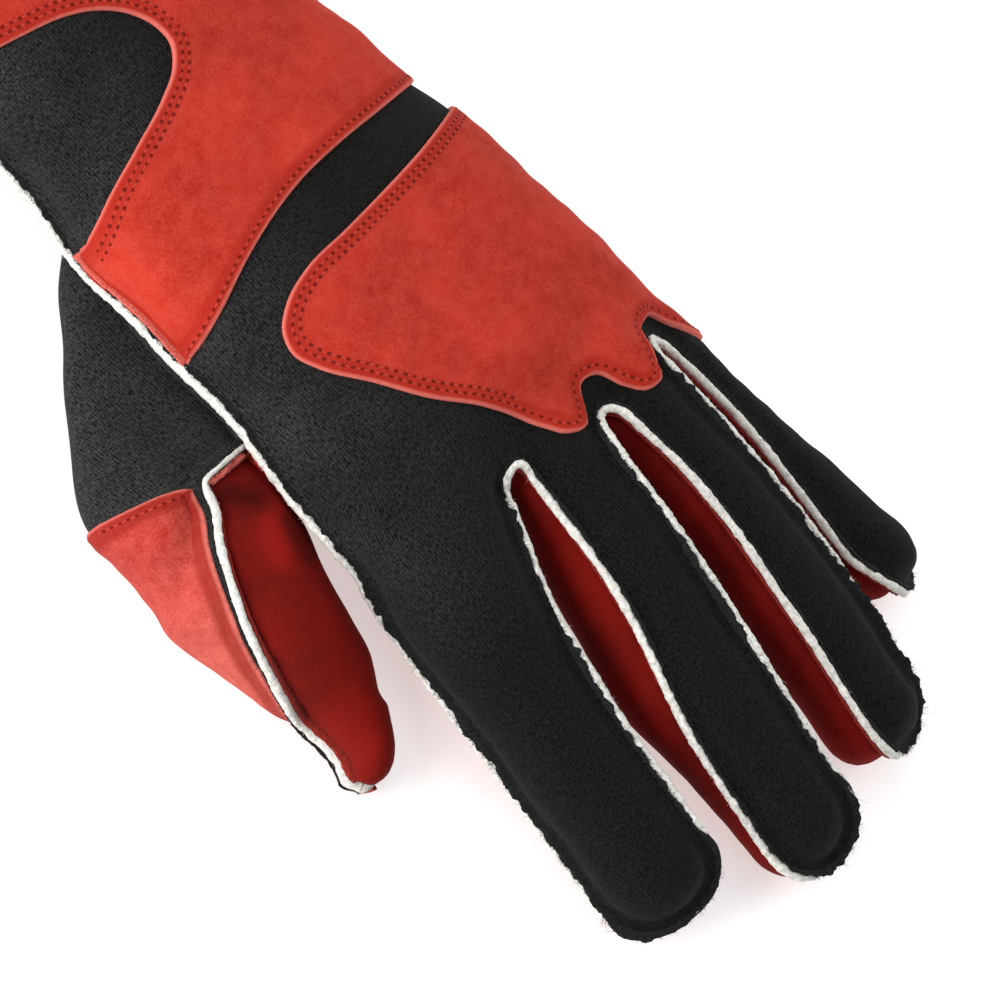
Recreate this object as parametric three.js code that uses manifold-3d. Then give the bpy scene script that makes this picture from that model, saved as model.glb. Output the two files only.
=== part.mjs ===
// Left racing glove with outside seams, lying palm down on a flat surface.
// Millimetres: +X is the thumb side, +Y the fingertips, +Z the back of the hand.
import * as THREE from 'three';
import { mergeVertices } from 'three/addons/utils/BufferGeometryUtils.js';
import Module from 'manifold-3d';

const wasm = await Module();
wasm.setup();

// Driving dimensions
const WALL = 2.0; // knit or suede together with its lining
const PANEL_GAP = 0.4; // between two panels that meet in a flat seam
const PATCH_THICKNESS = 1.1;
const PATCH_GAP = 0.3; // between a patch and the panel under it
const EDGE_THICKNESS = 1.6; // raw lining edge in an outside seam
const EDGE_STAND = 2.0; // how far the raw edge stands out of the seam
const EDGE_DEPTH = 1.5; // how far it reaches into the seam
const EDGE_GAP = 0.3; // on each side of the raw edge
const HEM_Y = -190;
const CROTCH_Y = -4;
const WEB_Y = -38; // where the thumb parts from the hand
const SLOT_DEPTH = 5; // how far a fourchette reaches behind the crotch

// Rounding of a fingertip: shares of its length, and the power of its profile
const TIP_STEPS = [0.5, 0.82, 0.97];
const TIP_POWER = 2.5;

// Reads a table: the names of its columns, then one row for each section.
function table(names, rows) {
  const keys = names.split(' ');
  return rows.map((row) => Object.fromEntries(row.map((value, i) => [keys[i], value])));
}

// Sections across the hand and the gauntlet, seam places in degrees round the section from +X.
const hand = {
  power: 2.5,
  sides: 20,
  sections: table('y x z half rise drop roll thumbSeam littleSeam', [
    [HEM_Y, 6, 18.5, 50, 19.5, 19.5, 0, 0, 184],
    [-150, 6.8, 17.4, 43, 18.4, 18.4, 0, 0, 184],
    [-118, 7.9, 16.6, 35.9, 17.6, 17.6, 1, 0, 184],
    [-96, 8.1, 16.6, 34.4, 17.4, 17.6, 3, 1, 184],
    [-74, 6.5, 17.2, 37.4, 18.7, 18.2, 5, 1, 184],
    [-58, 4.9, 17.4, 40.1, 19.8, 18.2, 6, 2, 183],
    [-44, 3.5, 17.5, 41.2, 20.4, 17.0, 7, 4, 180],
    [-30, 3.1, 17.5, 43.2, 20.8, 14.2, 8, 3, 178],
    [-16, 1.7, 17.3, 44.4, 20, 11.2, 10, 0, 175],
    [CROTCH_Y, 0.2, 17.4, 43.4, 15.4, 7.4, 13, 0, 172],
  ]),
};

// Sections across each finger. A seam of the back panel runs on its thumb side and its little side.
const FINGER_COLUMNS = 'y x z radius thumbSeam littleSeam';
const index = finger(
  [
    [-24, 27.2, 22.3, 13.4, -26, 125],
    [0, 30.0, 23.3, 13.6, -26, 127],
    [18, 31.7, 21.2, 12.5, -27, 129],
    [40, 32.3, 17.9, 11.5, -26, 129],
    [69, 32.2, 12.6, 11.0, -22, 132],
  ],
  [79.3, 31.6, 10.5, -16, 150],
  { thumb: null, little: 215 },
);
const middle = finger(
  [
    [-24, 0, 25, 11.0, 44, 128],
    [0, 0.2, 25.5, 10.8, 45, 129],
    [28, 1.1, 22.6, 11.3, 44, 130],
    [56, 2.7, 17.6, 11.5, 39, 132],
    [78, 2.6, 12.6, 10.4, 34, 136],
  ],
  [89.5, 2.0, 10.5, 22, 152],
  { thumb: -42, little: 222 },
);
const ring = finger(
  [
    [-24, -19.9, 21.5, 10.6, 66, 160],
    [0, -21.4, 22.0, 10.0, 66, 160],
    [20, -23.3, 20.4, 9.8, 66, 160],
    [48, -24.3, 16.3, 10.2, 64, 160],
    [73, -24.4, 11.0, 9.6, 63, 163],
  ],
  [82, -24.6, 9.8, 60, 205],
  { thumb: -36, little: 236 },
);
const little = finger(
  [
    [-24, -33.5, 14.5, 7.2, 80, 192],
    [0, -37.8, 13.0, 8.2, 78, 194],
    [16, -39.6, 11.9, 8.2, 73, 196],
    [32, -43.2, 11.0, 8.3, 57, 198],
    [50, -46.8, 9.0, 8.4, 48, 202],
  ],
  [59.7, -48.4, 8.2, 60, 226],
  { thumb: -36, little: null },
);
const fingers = [index, middle, ring, little];

// Sections across the thumb: its outside seam runs over the top, its hidden one underneath.
const THUMB_UNDERSEAM = -100;
const thumb = {
  power: 2,
  sides: 14,
  sections: table('y x z half rise drop roll thumbSeam', [
    [-92, 25, 7.2, 10.5, 7, 7.4, 0, 100],
    [-84, 31, 7.6, 13.8, 7.3, 7.8, 0, 100],
    [-72, 37, 7.9, 18.4, 7.7, 8.1, 0, 100],
    [-58, 45.4, 8.6, 21.2, 8.2, 8.8, 0, 100],
    [-46, 55, 10.8, 20.1, 10.3, 11, 0, 97],
    [WEB_Y, 59.2, 12.5, 16.2, 12.1, 12.8, 0, 93],
    [-28, 62, 13.2, 13.4, 12.9, 13.4, 0, 76],
    [-15, 61.6, 12.9, 12.5, 12.6, 13.1, 0, 52],
    [0, 59.3, 11.3, 10.6, 11, 11.4, 0, 28],
    [14, 59.7, 9.4, 7.6, 8.8, 9.2, 0, 12],
  ]),
  tip: { y: 24.6, x: 61.4, z: 7.8, thumbSeam: 12, littleSeam: 12 },
};

// Outlines of the patches seen from above, as x and y
const KNUCKLE_PATCH = [
  [-60, -66], [-30, -61.8], [-15.6, -59.6], [-3, -58.2], [9, -57.1], [20.3, -56.2], [27.2, -53.8],
  [31.6, -50], [32.8, -45.5], [31.2, -40.5], [25.1, -32], [18.7, -23.5], [10.9, -16], [6.4, -11],
  [2.6, -5.6], [-0.4, -2], [-4.2, -0.8], [-7.4, -3.4], [-11, -7.6], [-15, -7], [-18.4, -2],
  [-21.6, 1.4], [-24.8, 1.6], [-28.4, -2.6], [-32, -8.6], [-36, -9.4], [-40.4, -4.4], [-46, 1],
  [-60, 5],
];
const WRIST_PATCH_EDGE = [
  [-60, -70.5], [-28, -70.3], [-16, -70.2], [-3.6, -70.2], [8.2, -69.4], [19.8, -67], [28.2, -64.2],
  [37, -60.2], [60, -50],
];
const WRIST_WINDOW = [
  [60, -79], [37.3, -89.7], [28.8, -93.3], [18.3, -97.4], [12.6, -100.6], [9.6, -104.6],
  [9.8, -109], [12, -113.2], [16.1, -117], [22.6, -120.4], [30.8, -122.7], [38, -124.4], [60, -128],
];
const THUMB_CAP = [[40, -28], [60, -37], [73.5, -43.5], [90, -51], [90, 40], [40, 40]];

function finger(rows, tipRow, palmSeams) {
  const sections = table(FINGER_COLUMNS, rows).map((row) => {
    const { radius } = row;
    return { ...row, half: radius, rise: radius, drop: radius, roll: 0 };
  });
  const [tip] = table('y x z thumbSeam littleSeam', [tipRow]);
  return { power: 2, sides: 12, sections, tip, palmSeams };
}

// A point of a section's outline, grown or shrunk by a distance.
function sectionPoint(limb, section, degrees, grow = 0) {
  const angle = THREE.MathUtils.degToRad(degrees);
  const roll = THREE.MathUtils.degToRad(section.roll);
  const scale = section.scale ?? 1;
  const bend = 2 / limb.power;
  const across = Math.cos(angle);
  const up = Math.sin(angle);
  const height = up > 0 ? section.rise : section.drop;
  const u = scale * (section.half + grow) * Math.sign(across) * Math.abs(across) ** bend;
  const v = scale * (height + grow) * Math.sign(up) * Math.abs(up) ** bend;
  return new THREE.Vector3(
    section.x + u * Math.cos(roll) - v * Math.sin(roll),
    section.y,
    section.z + u * Math.sin(roll) + v * Math.cos(roll),
  );
}

// The limb's sections, with those that round off its tip.
function roundedSections(limb, grow = 0) {
  if (!limb.tip) return limb.sections;
  const last = limb.sections.at(-1);
  const { lerp } = THREE.MathUtils;
  const tips = TIP_STEPS.map((share) => ({
    ...last,
    y: lerp(last.y, limb.tip.y + grow, share),
    x: lerp(last.x, limb.tip.x, share),
    z: lerp(last.z, limb.tip.z, share),
    thumbSeam: lerp(last.thumbSeam, limb.tip.thumbSeam, share),
    littleSeam: lerp(last.littleSeam, limb.tip.littleSeam, share),
    scale: (1 - share ** TIP_POWER) ** (1 / TIP_POWER),
  }));
  return [...limb.sections, ...tips];
}

// The section at a place between two others, or the nearest one past the ends.
function sectionAt(sections, y) {
  const after = sections.findIndex((section) => section.y >= y);
  if (after <= 0) return { ...sections.at(after), y };
  const [a, b] = [sections[after - 1], sections[after]];
  const share = (y - a.y) / (b.y - a.y);
  const blend = ([key, value]) => [key, THREE.MathUtils.lerp(value, b[key], share)];
  return Object.fromEntries(Object.entries(a).map(blend));
}

// A closed solid through rings of points, each ring with the same number of them.
function loft(rings) {
  const count = rings[0].length;
  const points = rings.flat();
  const triangles = [];
  for (let r = 0; r + 1 < rings.length; r += 1) {
    for (let i = 0; i < count; i += 1) {
      const next = (i + 1) % count;
      const [a, b] = [r * count + i, r * count + next];
      const [c, d] = [a + count, b + count];
      triangles.push([a, b, d], [a, d, c]);
    }
  }
  for (const [ring, start, flip] of [[rings[0], 0, true], [rings.at(-1), points.length - count, false]]) {
    const centre = ring.reduce((sum, p) => sum.clone().add(p), new THREE.Vector3()).divideScalar(count);
    const hub = points.push(centre) - 1;
    for (let i = 0; i < count; i += 1) {
      const [a, b] = [start + i, start + ((i + 1) % count)];
      triangles.push(flip ? [hub, b, a] : [hub, a, b]);
    }
  }
  const volume = triangles.reduce((sum, [a, b, c]) => {
    const cross = new THREE.Vector3().crossVectors(points[b], points[c]);
    return sum + points[a].dot(cross);
  }, 0);
  const outward = volume > 0 ? triangles : triangles.map(([a, b, c]) => [a, c, b]);
  return new wasm.Manifold(new wasm.Mesh({
    numProp: 3,
    vertProperties: new Float32Array(points.flatMap((p) => p.toArray())),
    triVerts: new Uint32Array(outward.flat()),
  }));
}

// A solid from one of the library's closed geometries.
function solid(geometry) {
  geometry.deleteAttribute('normal');
  geometry.deleteAttribute('uv');
  const merged = mergeVertices(geometry, 1e-4);
  return new wasm.Manifold(new wasm.Mesh({
    numProp: 3,
    vertProperties: new Float32Array(merged.attributes.position.array),
    triVerts: new Uint32Array(merged.index.array),
  }));
}

const unite = (solids) => solids.reduce((sum, next) => sum.add(next));
const without = (body, cutters) => cutters.reduce((left, cutter) => left.subtract(cutter), body);

// Everything below the surface that the glove rests on, or above by a wall for its hollow.
function ground(top) {
  const depth = 40;
  const block = new THREE.BoxGeometry(400, 600, depth);
  block.translate(0, -50, top - depth / 2);
  return solid(block);
}

// The whole limb as a solid, grown or shrunk by a distance and flat where it rests.
function limbSolid(limb, grow = 0) {
  const sections = roundedSections(limb, grow);
  const start = { ...sections[0] };
  const end = { ...sections.at(-1) };
  if (limb === hand) {
    start.y -= grow < 0 ? 1 : 0;
    end.y += grow;
  }
  const rings = [start, ...sections.slice(1, -1), end].map((section) =>
    Array.from({ length: limb.sides }, (_, i) => sectionPoint(limb, section, (360 * i) / limb.sides, grow)));
  return loft(rings).subtract(ground(-grow));
}

// The sector of a limb between two seams, half a panel gap inside them, for cutting out a panel.
const SECTOR_MARGIN = 1.2;
const HAND_SECTOR_MARGIN = 3;
function sector(limb, from, to, { startY = -Infinity, endY = Infinity, steps = 12, grow = 0 } = {}) {
  const margin = (limb === hand ? HAND_SECTOR_MARGIN : SECTOR_MARGIN) + grow;
  const gap = PANEL_GAP / 2 - grow;
  const all = roundedSections(limb, margin).map((section) => ({ ...section, scale: 1 }));
  const between = all.filter((section) => section.y > startY && section.y < endY);
  const first = Number.isFinite(startY) ? sectionAt(all, startY) : { ...all[0], y: all[0].y - 1 };
  const last = Number.isFinite(endY) ? sectionAt(all, endY) : { ...all.at(-1), y: all.at(-1).y + 2 };
  const rings = [first, ...between, last].map((section) => {
    const [low, high] = [from(section), to(section)];
    const centre = new THREE.Vector3(section.x, section.y, section.z);
    const ends = [low, high].map((angle) => sectionPoint(limb, section, angle, margin));
    const [lowRay, highRay] = ends.map((end) => Math.atan2(end.z - centre.z, end.x - centre.x));
    const span = (highRay - lowRay + 4 * Math.PI) % (2 * Math.PI);
    const inward = gap / Math.sin(span / 2);
    const middleRay = lowRay + span / 2;
    const apex = centre.clone();
    apex.x += inward * Math.cos(middleRay);
    apex.z += inward * Math.sin(middleRay);
    const rim = Array.from({ length: steps + 1 }, (_, i) =>
      sectionPoint(limb, section, low + ((high - low) * i) / steps, margin));
    rim[0].x -= gap * Math.sin(lowRay);
    rim[0].z += gap * Math.cos(lowRay);
    rim[steps].x += gap * Math.sin(highRay);
    rim[steps].z -= gap * Math.cos(highRay);
    return [apex, ...rim];
  });
  return loft(rings);
}

// Points along a seam of a limb, each with the direction in which its raw edge stands out.
function seamPoints(limb, seam, startY) {
  const sections = roundedSections(limb);
  return sections.map((section, i) => {
    const angle = section[seam];
    const before = sections[Math.max(i - 1, 0)];
    const after = sections[Math.min(i + 1, sections.length - 1)];
    const along = sectionPoint(limb, after, angle).sub(sectionPoint(limb, before, angle));
    const around = sectionPoint(limb, section, angle + 3).sub(sectionPoint(limb, section, angle - 3));
    const out = new THREE.Vector3().crossVectors(around, along).normalize();
    const point = sectionPoint(limb, section, angle);
    const centre = new THREE.Vector3(section.x, section.y, section.z);
    if (out.dot(point.clone().sub(centre)) < 0) out.negate();
    return { point, out };
  }).filter(({ point }) => point.y >= startY);
}

// Round a fingertip from one seam to the other.
function overTip(limb) {
  const { x, y, z } = limb.tip;
  return { point: new THREE.Vector3(x, y, z), out: new THREE.Vector3(0, 1, 0) };
}

// A raw edge along a path of seam points, or the room that it needs with a clearance added.
function rawEdge(path, { clearance = 0, depth = EDGE_DEPTH } = {}) {
  const half = EDGE_THICKNESS / 2 + clearance;
  const stand = EDGE_STAND + clearance;
  const end = path.length - 1;
  const rings = path.map(({ point, out }, i) => {
    const before = path[Math.max(i - 1, 0)].point;
    const after = path[Math.min(i + 1, end)].point;
    const along = after.clone().sub(before).normalize();
    const side = new THREE.Vector3().crossVectors(out, along).setLength(half);
    const past = (i === end ? clearance : 0) - (i === 0 ? clearance : 0);
    const foot = point.clone().addScaledVector(out, -depth).addScaledVector(along, past);
    const crest = foot.clone().addScaledVector(out, depth + stand);
    return [foot.clone().sub(side), crest.clone().sub(side), crest.clone().add(side), foot.clone().add(side)];
  });
  return loft(rings);
}

// The bottom of a slot: from one finger's seam to the next finger's.
function crotch(from, to, dipY) {
  const [a, b] = [from.point, to.point];
  return [0.2, 0.5, 0.8].map((share) => {
    const point = a.clone().lerp(b, share);
    point.y = share === 0.5 ? dipY : dipY + 0.8;
    const out = from.out.clone().lerp(to.out, share);
    out.y = 0.3;
    return { point, out: out.normalize() };
  });
}

const FINGER_START_Y = -0.5; // where a finger's own seams begin, just past the crotch

function backSeamPath() {
  const path = [...seamPoints(hand, 'thumbSeam', HEM_Y).slice(0, -1)];
  fingers.forEach((limb, i) => {
    const up = seamPoints(limb, 'thumbSeam', FINGER_START_Y);
    const down = seamPoints(limb, 'littleSeam', FINGER_START_Y).reverse();
    if (i > 0) path.push(...crotch(path.at(-1), up[0], CROTCH_Y - 0.5));
    path.push(...up, overTip(limb), ...down);
  });
  const back = seamPoints(hand, 'littleSeam', HEM_Y).slice(0, -1).reverse();
  return [...path, ...back];
}

function thumbSeamPath() {
  const web = thumb.sections.find((section) => section.y === WEB_Y);
  const acrossWeb = [152, 138, 122, 107].map((angle) => {
    const point = sectionPoint(thumb, web, angle);
    const out = point.clone().sub(new THREE.Vector3(web.x, web.y, web.z)).normalize();
    return { point, out };
  });
  const along = seamPoints(thumb, 'thumbSeam', WEB_Y + 1);
  return [...acrossWeb, ...along, overTip(thumb)];
}

// The bottom of a slot between two fingers, bounded by the seams of both.
function slotBottom(nearer, farther, grow) {
  const nearSection = nearer.sections[1];
  const farSection = farther.sections[1];
  const corners = [
    sectionPoint(nearer, nearSection, nearSection.littleSeam),
    sectionPoint(farther, farSection, farSection.thumbSeam),
    sectionPoint(farther, farSection, farther.palmSeams.thumb),
    sectionPoint(nearer, nearSection, nearer.palmSeams.little),
  ];
  const centre = corners.reduce((sum, p) => sum.clone().add(p)).divideScalar(corners.length);
  return loft([CROTCH_Y - SLOT_DEPTH - grow, CROTCH_Y + 0.5 + grow].map((y) => corners.map((corner) => {
    const point = corner.clone();
    point.addScaledVector(corner.clone().sub(centre).normalize(), grow);
    point.y = y;
    return point;
  })));
}

// A block over an outline seen from above, its corners rounded by a spline when it is curved.
function outlineBlock(points, curved) {
  const corners = points.map(([x, y]) => new THREE.Vector2(x, y));
  const shape = new THREE.Shape();
  shape.moveTo(corners[0].x, corners[0].y);
  if (curved) shape.splineThru(corners.slice(1));
  else corners.slice(1).forEach((corner) => shape.lineTo(corner.x, corner.y));
  shape.closePath();
  return solid(new THREE.ExtrudeGeometry(shape, { depth: 60, bevelEnabled: false, curveSegments: points.length }));
}

const handAndFingers = [hand, ...fingers];
const hollow = unite([...handAndFingers, thumb].map((limb) => limbSolid(limb, -WALL)));
const handShell = unite(handAndFingers.map((limb) => limbSolid(limb))).subtract(hollow);
const thumbShell = without(limbSolid(thumb), [hollow, limbSolid(hand, PATCH_GAP)]);

const mainPath = backSeamPath();
const thumbPath = thumbSeamPath();
const seamRoom = [mainPath, thumbPath].map((path) => rawEdge(path, { clearance: EDGE_GAP, depth: WALL + 1.5 }));

const FULL_TURN = 360;
const backOf = (limb, options) => sector(limb, (s) => s.thumbSeam, (s) => s.littleSeam, options);
const handBack = backOf(hand, { steps: 26, endY: CROTCH_Y + 0.5 });
const handPalm = sector(hand, (s) => s.littleSeam, (s) => s.thumbSeam + FULL_TURN, { steps: 26, endY: CROTCH_Y + 0.5 });
const slotWalls = { startY: CROTCH_Y - 0.5, steps: 7 };

function fingerPalm(limb) {
  const { thumb: thumbSide, little: littleSide } = limb.palmSeams;
  return sector(
    limb,
    (s) => littleSide ?? s.littleSeam,
    (s) => FULL_TURN + (thumbSide ?? s.thumbSeam),
    { steps: 10 },
  );
}

// The walls and the bottom of the slot between two fingers, grown by a distance.
function slotSpace(nearer, farther, grow) {
  const options = { ...slotWalls, startY: slotWalls.startY - grow, grow };
  return unite([
    sector(nearer, (s) => s.littleSeam, () => nearer.palmSeams.little, options),
    sector(farther, () => farther.palmSeams.thumb, (s) => s.thumbSeam, options),
    slotBottom(nearer, farther, grow),
  ]);
}
const slots = fingers.slice(0, -1).map((nearer, i) => ({
  region: slotSpace(nearer, fingers[i + 1], 0),
  room: slotSpace(nearer, fingers[i + 1], PANEL_GAP),
}));
const slotRooms = slots.map(({ room }) => room);
const backRegion = unite([handBack, ...fingers.map((limb) => backOf(limb))]);
const palmRegion = unite([handPalm, ...fingers.map(fingerPalm)]).subtract(backRegion);

const THUMB_FRONT_TO = FULL_TURN + THUMB_UNDERSEAM;
const thumbFrontRegion = sector(thumb, (s) => s.thumbSeam, () => THUMB_FRONT_TO, { startY: WEB_Y + PANEL_GAP / 2 });
const thumbFrontRoom = sector(thumb, (s) => s.thumbSeam, () => THUMB_FRONT_TO, { startY: WEB_Y, grow: PANEL_GAP / 2 });

// A layer that lies on the outside of limbs, such as a patch.
function layer(limbs) {
  const outside = unite(limbs.map((limb) => limbSolid(limb, PATCH_GAP + PATCH_THICKNESS)));
  return without(outside, limbs.map((limb) => limbSolid(limb, PATCH_GAP)));
}
const patchLayer = without(layer(handAndFingers), [...seamRoom, limbSolid(thumb, PATCH_GAP)]).intersect(backRegion);
const thumbPatchLayer = without(layer([thumb]), [thumbFrontRoom, ...seamRoom, limbSolid(hand, PATCH_GAP)]);
const wristOutline = outlineBlock([...WRIST_PATCH_EDGE, [60, HEM_Y - 5], [-60, HEM_Y - 5]], false);

const KNIT = { color: 0x1b1c1b, roughness: 0.95, metalness: 0 };
const SUEDE = { color: 0xc8402f, roughness: 0.9, metalness: 0 };
const SHADED_SUEDE = { color: 0xa82318, roughness: 0.9, metalness: 0 };
const LINING = { color: 0xe4e1d8, roughness: 0.95, metalness: 0 };

// The largest body of a cut, without crumbs.
function mainBody(cut) {
  return cut.decompose().reduce((best, next) => (next.volume() > best.volume() ? next : best));
}

const pieces = [
  ['back_panel', KNIT, without(handShell.intersect(backRegion), [...seamRoom, ...slotRooms])],
  ['palm_panel', SUEDE, without(handShell.intersect(palmRegion), [...seamRoom, ...slotRooms])],
  ...['index_middle', 'middle_ring', 'ring_little'].map((name, i) => [
    `fourchette_${name}`, SHADED_SUEDE, without(handShell.intersect(slots[i].region), seamRoom),
  ]),
  ['thumb_back', KNIT, without(thumbShell, [thumbFrontRoom, ...seamRoom])],
  ['thumb_front', SHADED_SUEDE, without(thumbShell.intersect(thumbFrontRegion), seamRoom)],
  ['thumb_cap', SUEDE, thumbPatchLayer.intersect(outlineBlock(THUMB_CAP, false))],
  ['knuckle_patch', SUEDE, patchLayer.intersect(outlineBlock(KNUCKLE_PATCH, false))],
  ['wrist_patch', SUEDE, patchLayer.intersect(wristOutline).subtract(outlineBlock(WRIST_WINDOW, false))],
  ['lining_edge_main', LINING, rawEdge(mainPath)],
  ['lining_edge_thumb', LINING, without(rawEdge(thumbPath), [seamRoom[0]])],
];

const glove = new THREE.Group();
for (const [name, finish, body] of pieces) {
  const { vertProperties, triVerts } = mainBody(body).getMesh();
  const geometry = new THREE.BufferGeometry();
  geometry.setAttribute('position', new THREE.BufferAttribute(new Float32Array(vertProperties), 3));
  geometry.setIndex(new THREE.BufferAttribute(new Uint32Array(triVerts), 1));
  geometry.computeVertexNormals();
  const mesh = new THREE.Mesh(geometry, new THREE.MeshStandardMaterial(finish));
  mesh.name = name;
  glove.add(mesh);
}

// The origin is under the middle of the glove, on the surface that it rests on.
const bounds = new THREE.Box3().setFromObject(glove);
const middlePoint = bounds.getCenter(new THREE.Vector3());
glove.position.set(-middlePoint.x, -middlePoint.y, -bounds.min.z);

export default glove;
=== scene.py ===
"""The looks of a left racing glove with outside seams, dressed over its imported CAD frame.

Tables of sections and outlines are in millimetres in the glove's drawing, where +X is the thumb
side, +Y the fingertips and +Z the back of the hand. Finished meshes are in metres in the frame.
"""

import bmesh
import bpy
import numpy as np
from mathutils import Matrix, Vector
from mathutils.bvhtree import BVHTree
from mathutils.kdtree import KDTree


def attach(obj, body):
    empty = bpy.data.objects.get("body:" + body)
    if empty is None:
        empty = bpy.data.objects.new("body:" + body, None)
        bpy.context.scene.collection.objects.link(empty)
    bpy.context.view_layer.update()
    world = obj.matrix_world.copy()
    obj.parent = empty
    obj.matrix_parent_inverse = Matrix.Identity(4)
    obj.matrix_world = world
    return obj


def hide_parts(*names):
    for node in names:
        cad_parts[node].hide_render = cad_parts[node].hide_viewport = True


bl_info = {
    "name": "Racing glove",
    "version": (1, 0, 0),
    "blender": (4, 5, 0),
    "location": "3D View > Sidebar > Glove",
    "description": "Builds the knit, suede, raw seam edges and stitching of a racing glove",
    "category": "Object",
}

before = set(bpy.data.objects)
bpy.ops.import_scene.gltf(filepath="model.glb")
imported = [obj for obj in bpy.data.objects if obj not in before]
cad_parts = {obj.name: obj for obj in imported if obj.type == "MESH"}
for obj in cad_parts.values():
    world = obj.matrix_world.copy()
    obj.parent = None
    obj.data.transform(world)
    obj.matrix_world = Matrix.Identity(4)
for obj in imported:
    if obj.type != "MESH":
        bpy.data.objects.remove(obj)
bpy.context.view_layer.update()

MM = 0.001
DRAWING_ORIGIN = np.array((-10.0386, 49.4078, 0.0))  # the drawing's origin in the frame, in mm

# Columns of a section
Y, X, Z, HALF, RISE, DROP, ROLL, THUMB_SEAM, LITTLE_SEAM, SCALE = range(10)
TIP_POWER = 2.5  # how square a fingertip's outline is
HEM_Y = -190.0  # the gauntlet's end
WEB_Y = -38.5  # where the thumb's raw edge crosses the web between thumb and hand
WEB_TURNS = (150, 138, 126, 114, 102, 92)  # its places round the thumb there, in degrees
THUMB_SEAM_STOP = 0.9  # how far before the thumb's end its outside seam stops, in mm
THUMB_UNDERSEAM = -100.0  # the thumb's hidden seam, in degrees round it
SEAM_STEP = 0.4  # between the rings of a raw edge, in mm
PATCH_HEIGHT = 1.25  # of a patch's face above the knit, in mm
STITCH_ROW = 1.6  # from a patch's edge to its row of stitches, in mm
SECOND_ROW = 2.9  # to the second row, where there is one
TWICE_SEWN = 0.62  # share of the knuckle patch's outline with a second row
PATCH_CLEAR, CAP_CLEAR = 2.4, 2.6  # from a seam to the nearest stitch of a patch, or the cap
FLARE = 1.4  # how far the knit turns out into its raw edge at a seam, in mm
TIP_FLARE = 1.1  # how much further it does at the fingertips
GROOVE = 2.2  # from a seam to the groove where a patch caught in it begins to rise, in mm
EDGE_FOOT = -1.4  # how deep the raw edges reach into their seam, in mm
WALLS = {"panel": 2.0, "thumb": 1.6, "slot": 1.2}  # thickness of the cloths, in mm
ABOVE = 80.0  # a height over everything, in mm

# The hand, the gauntlet and the thumb: y x z half rise drop roll thumbSeam littleSeam
HAND_ROWS = [
    [-190, 6, 18.5, 50, 19.5, 19.5, 0, -6, 184],
    [-150, 6.8, 17.4, 43, 18.4, 18.4, 0, -6, 184],
    [-118, 7.9, 16.6, 35.9, 17.6, 17.6, 1, 0, 184],
    [-96, 8.1, 16.6, 34.4, 17.4, 17.6, 3, -3, 184],
    [-84, 7.25, 16.9, 36, 18.1, 17.9, 4.1, -8, 184],
    [-79, 6.85, 17.05, 36.7, 18.4, 18.05, 4.6, -6, 184],
    [-74, 6.5, 17.2, 37.4, 18.7, 18.2, 5, -2, 184],
    [-58, 4.9, 17.4, 40.1, 19.8, 18.2, 6, 2, 183],
    [-44, 3.5, 17.5, 41.2, 20.4, 17.0, 7, 4, 180],
    [-30, 3.1, 17.5, 43.2, 20.8, 14.2, 8, 3, 178],
    [-16, 1.7, 17.3, 44.4, 20, 11.2, 10, 0, 175],
    [-4, 0.2, 17.4, 43.4, 15.4, 7.4, 13, 0, 172],
]
# Fingers: y x z radius thumbSeam littleSeam
INDEX_ROWS = [
    [-24, 27.2, 22.3, 13.4, -26, 125],
    [-2, 28.6, 23.1, 14.7, -26, 150],
    [8, 30.2, 22.6, 13.9, -26, 138],
    [20, 31.7, 21.0, 12.5, -27, 133],
    [40, 32.3, 17.9, 11.5, -26, 129],
    [69, 32.2, 12.6, 11.0, -22, 132],
]
MIDDLE_ROWS = [
    [-24, 0, 25, 11.0, 40, 128],
    [0, 0.2, 25.5, 10.8, 40, 129],
    [28, 1.1, 22.6, 11.3, 42, 130],
    [56, 2.7, 17.6, 11.5, 29, 132],
    [78, 2.6, 12.6, 10.4, 23, 136],
]
RING_ROWS = [
    [-24, -19.9, 21.5, 10.6, 56, 140],
    [0, -21.4, 22.0, 10.0, 56, 142],
    [20, -23.3, 20.4, 9.8, 62, 148],
    [48, -24.3, 16.3, 10.2, 58, 158],
    [73, -24.4, 11.0, 9.6, 55, 163],
]
LITTLE_ROWS = [
    [-24, -33.5, 14.5, 7.2, 80, 192],
    [0, -37.8, 13.0, 8.2, 80, 194],
    [16, -39.6, 11.9, 8.2, 83, 196],
    [32, -43.2, 11.0, 8.3, 64, 198],
    [50, -46.8, 9.0, 8.4, 46, 202],
]
# The end of each slot between fingers: y, and its share of the way between the slot's seams
SLOT_ENDS = [[-4.2, 0.6], [-1.4, 0.6], [-6.2, 0.5]]
SLOT_TAPER = 3.2  # length in which a slot narrows to its end, in mm
SLOT_CORNER = 0.8  # from its end to the corners beside it
HAND_SEAMS_END = -15  # the y up to which the hand's side seams are its own
OUTER_SEAMS_START = 1.5  # the y from which they are the index and the little finger's
# Cloth that fills the valley between middle and ring finger: x, y, z and radii
FINGER_WEB = [-12.2, -6.5, 26.5, 6.5, 5.5, 6.0]
# The knuckles: from y to y, and on to a third y over the slots, there above a height
KNUCKLE_ZONE = (-34, -5, 1, 16)
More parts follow.
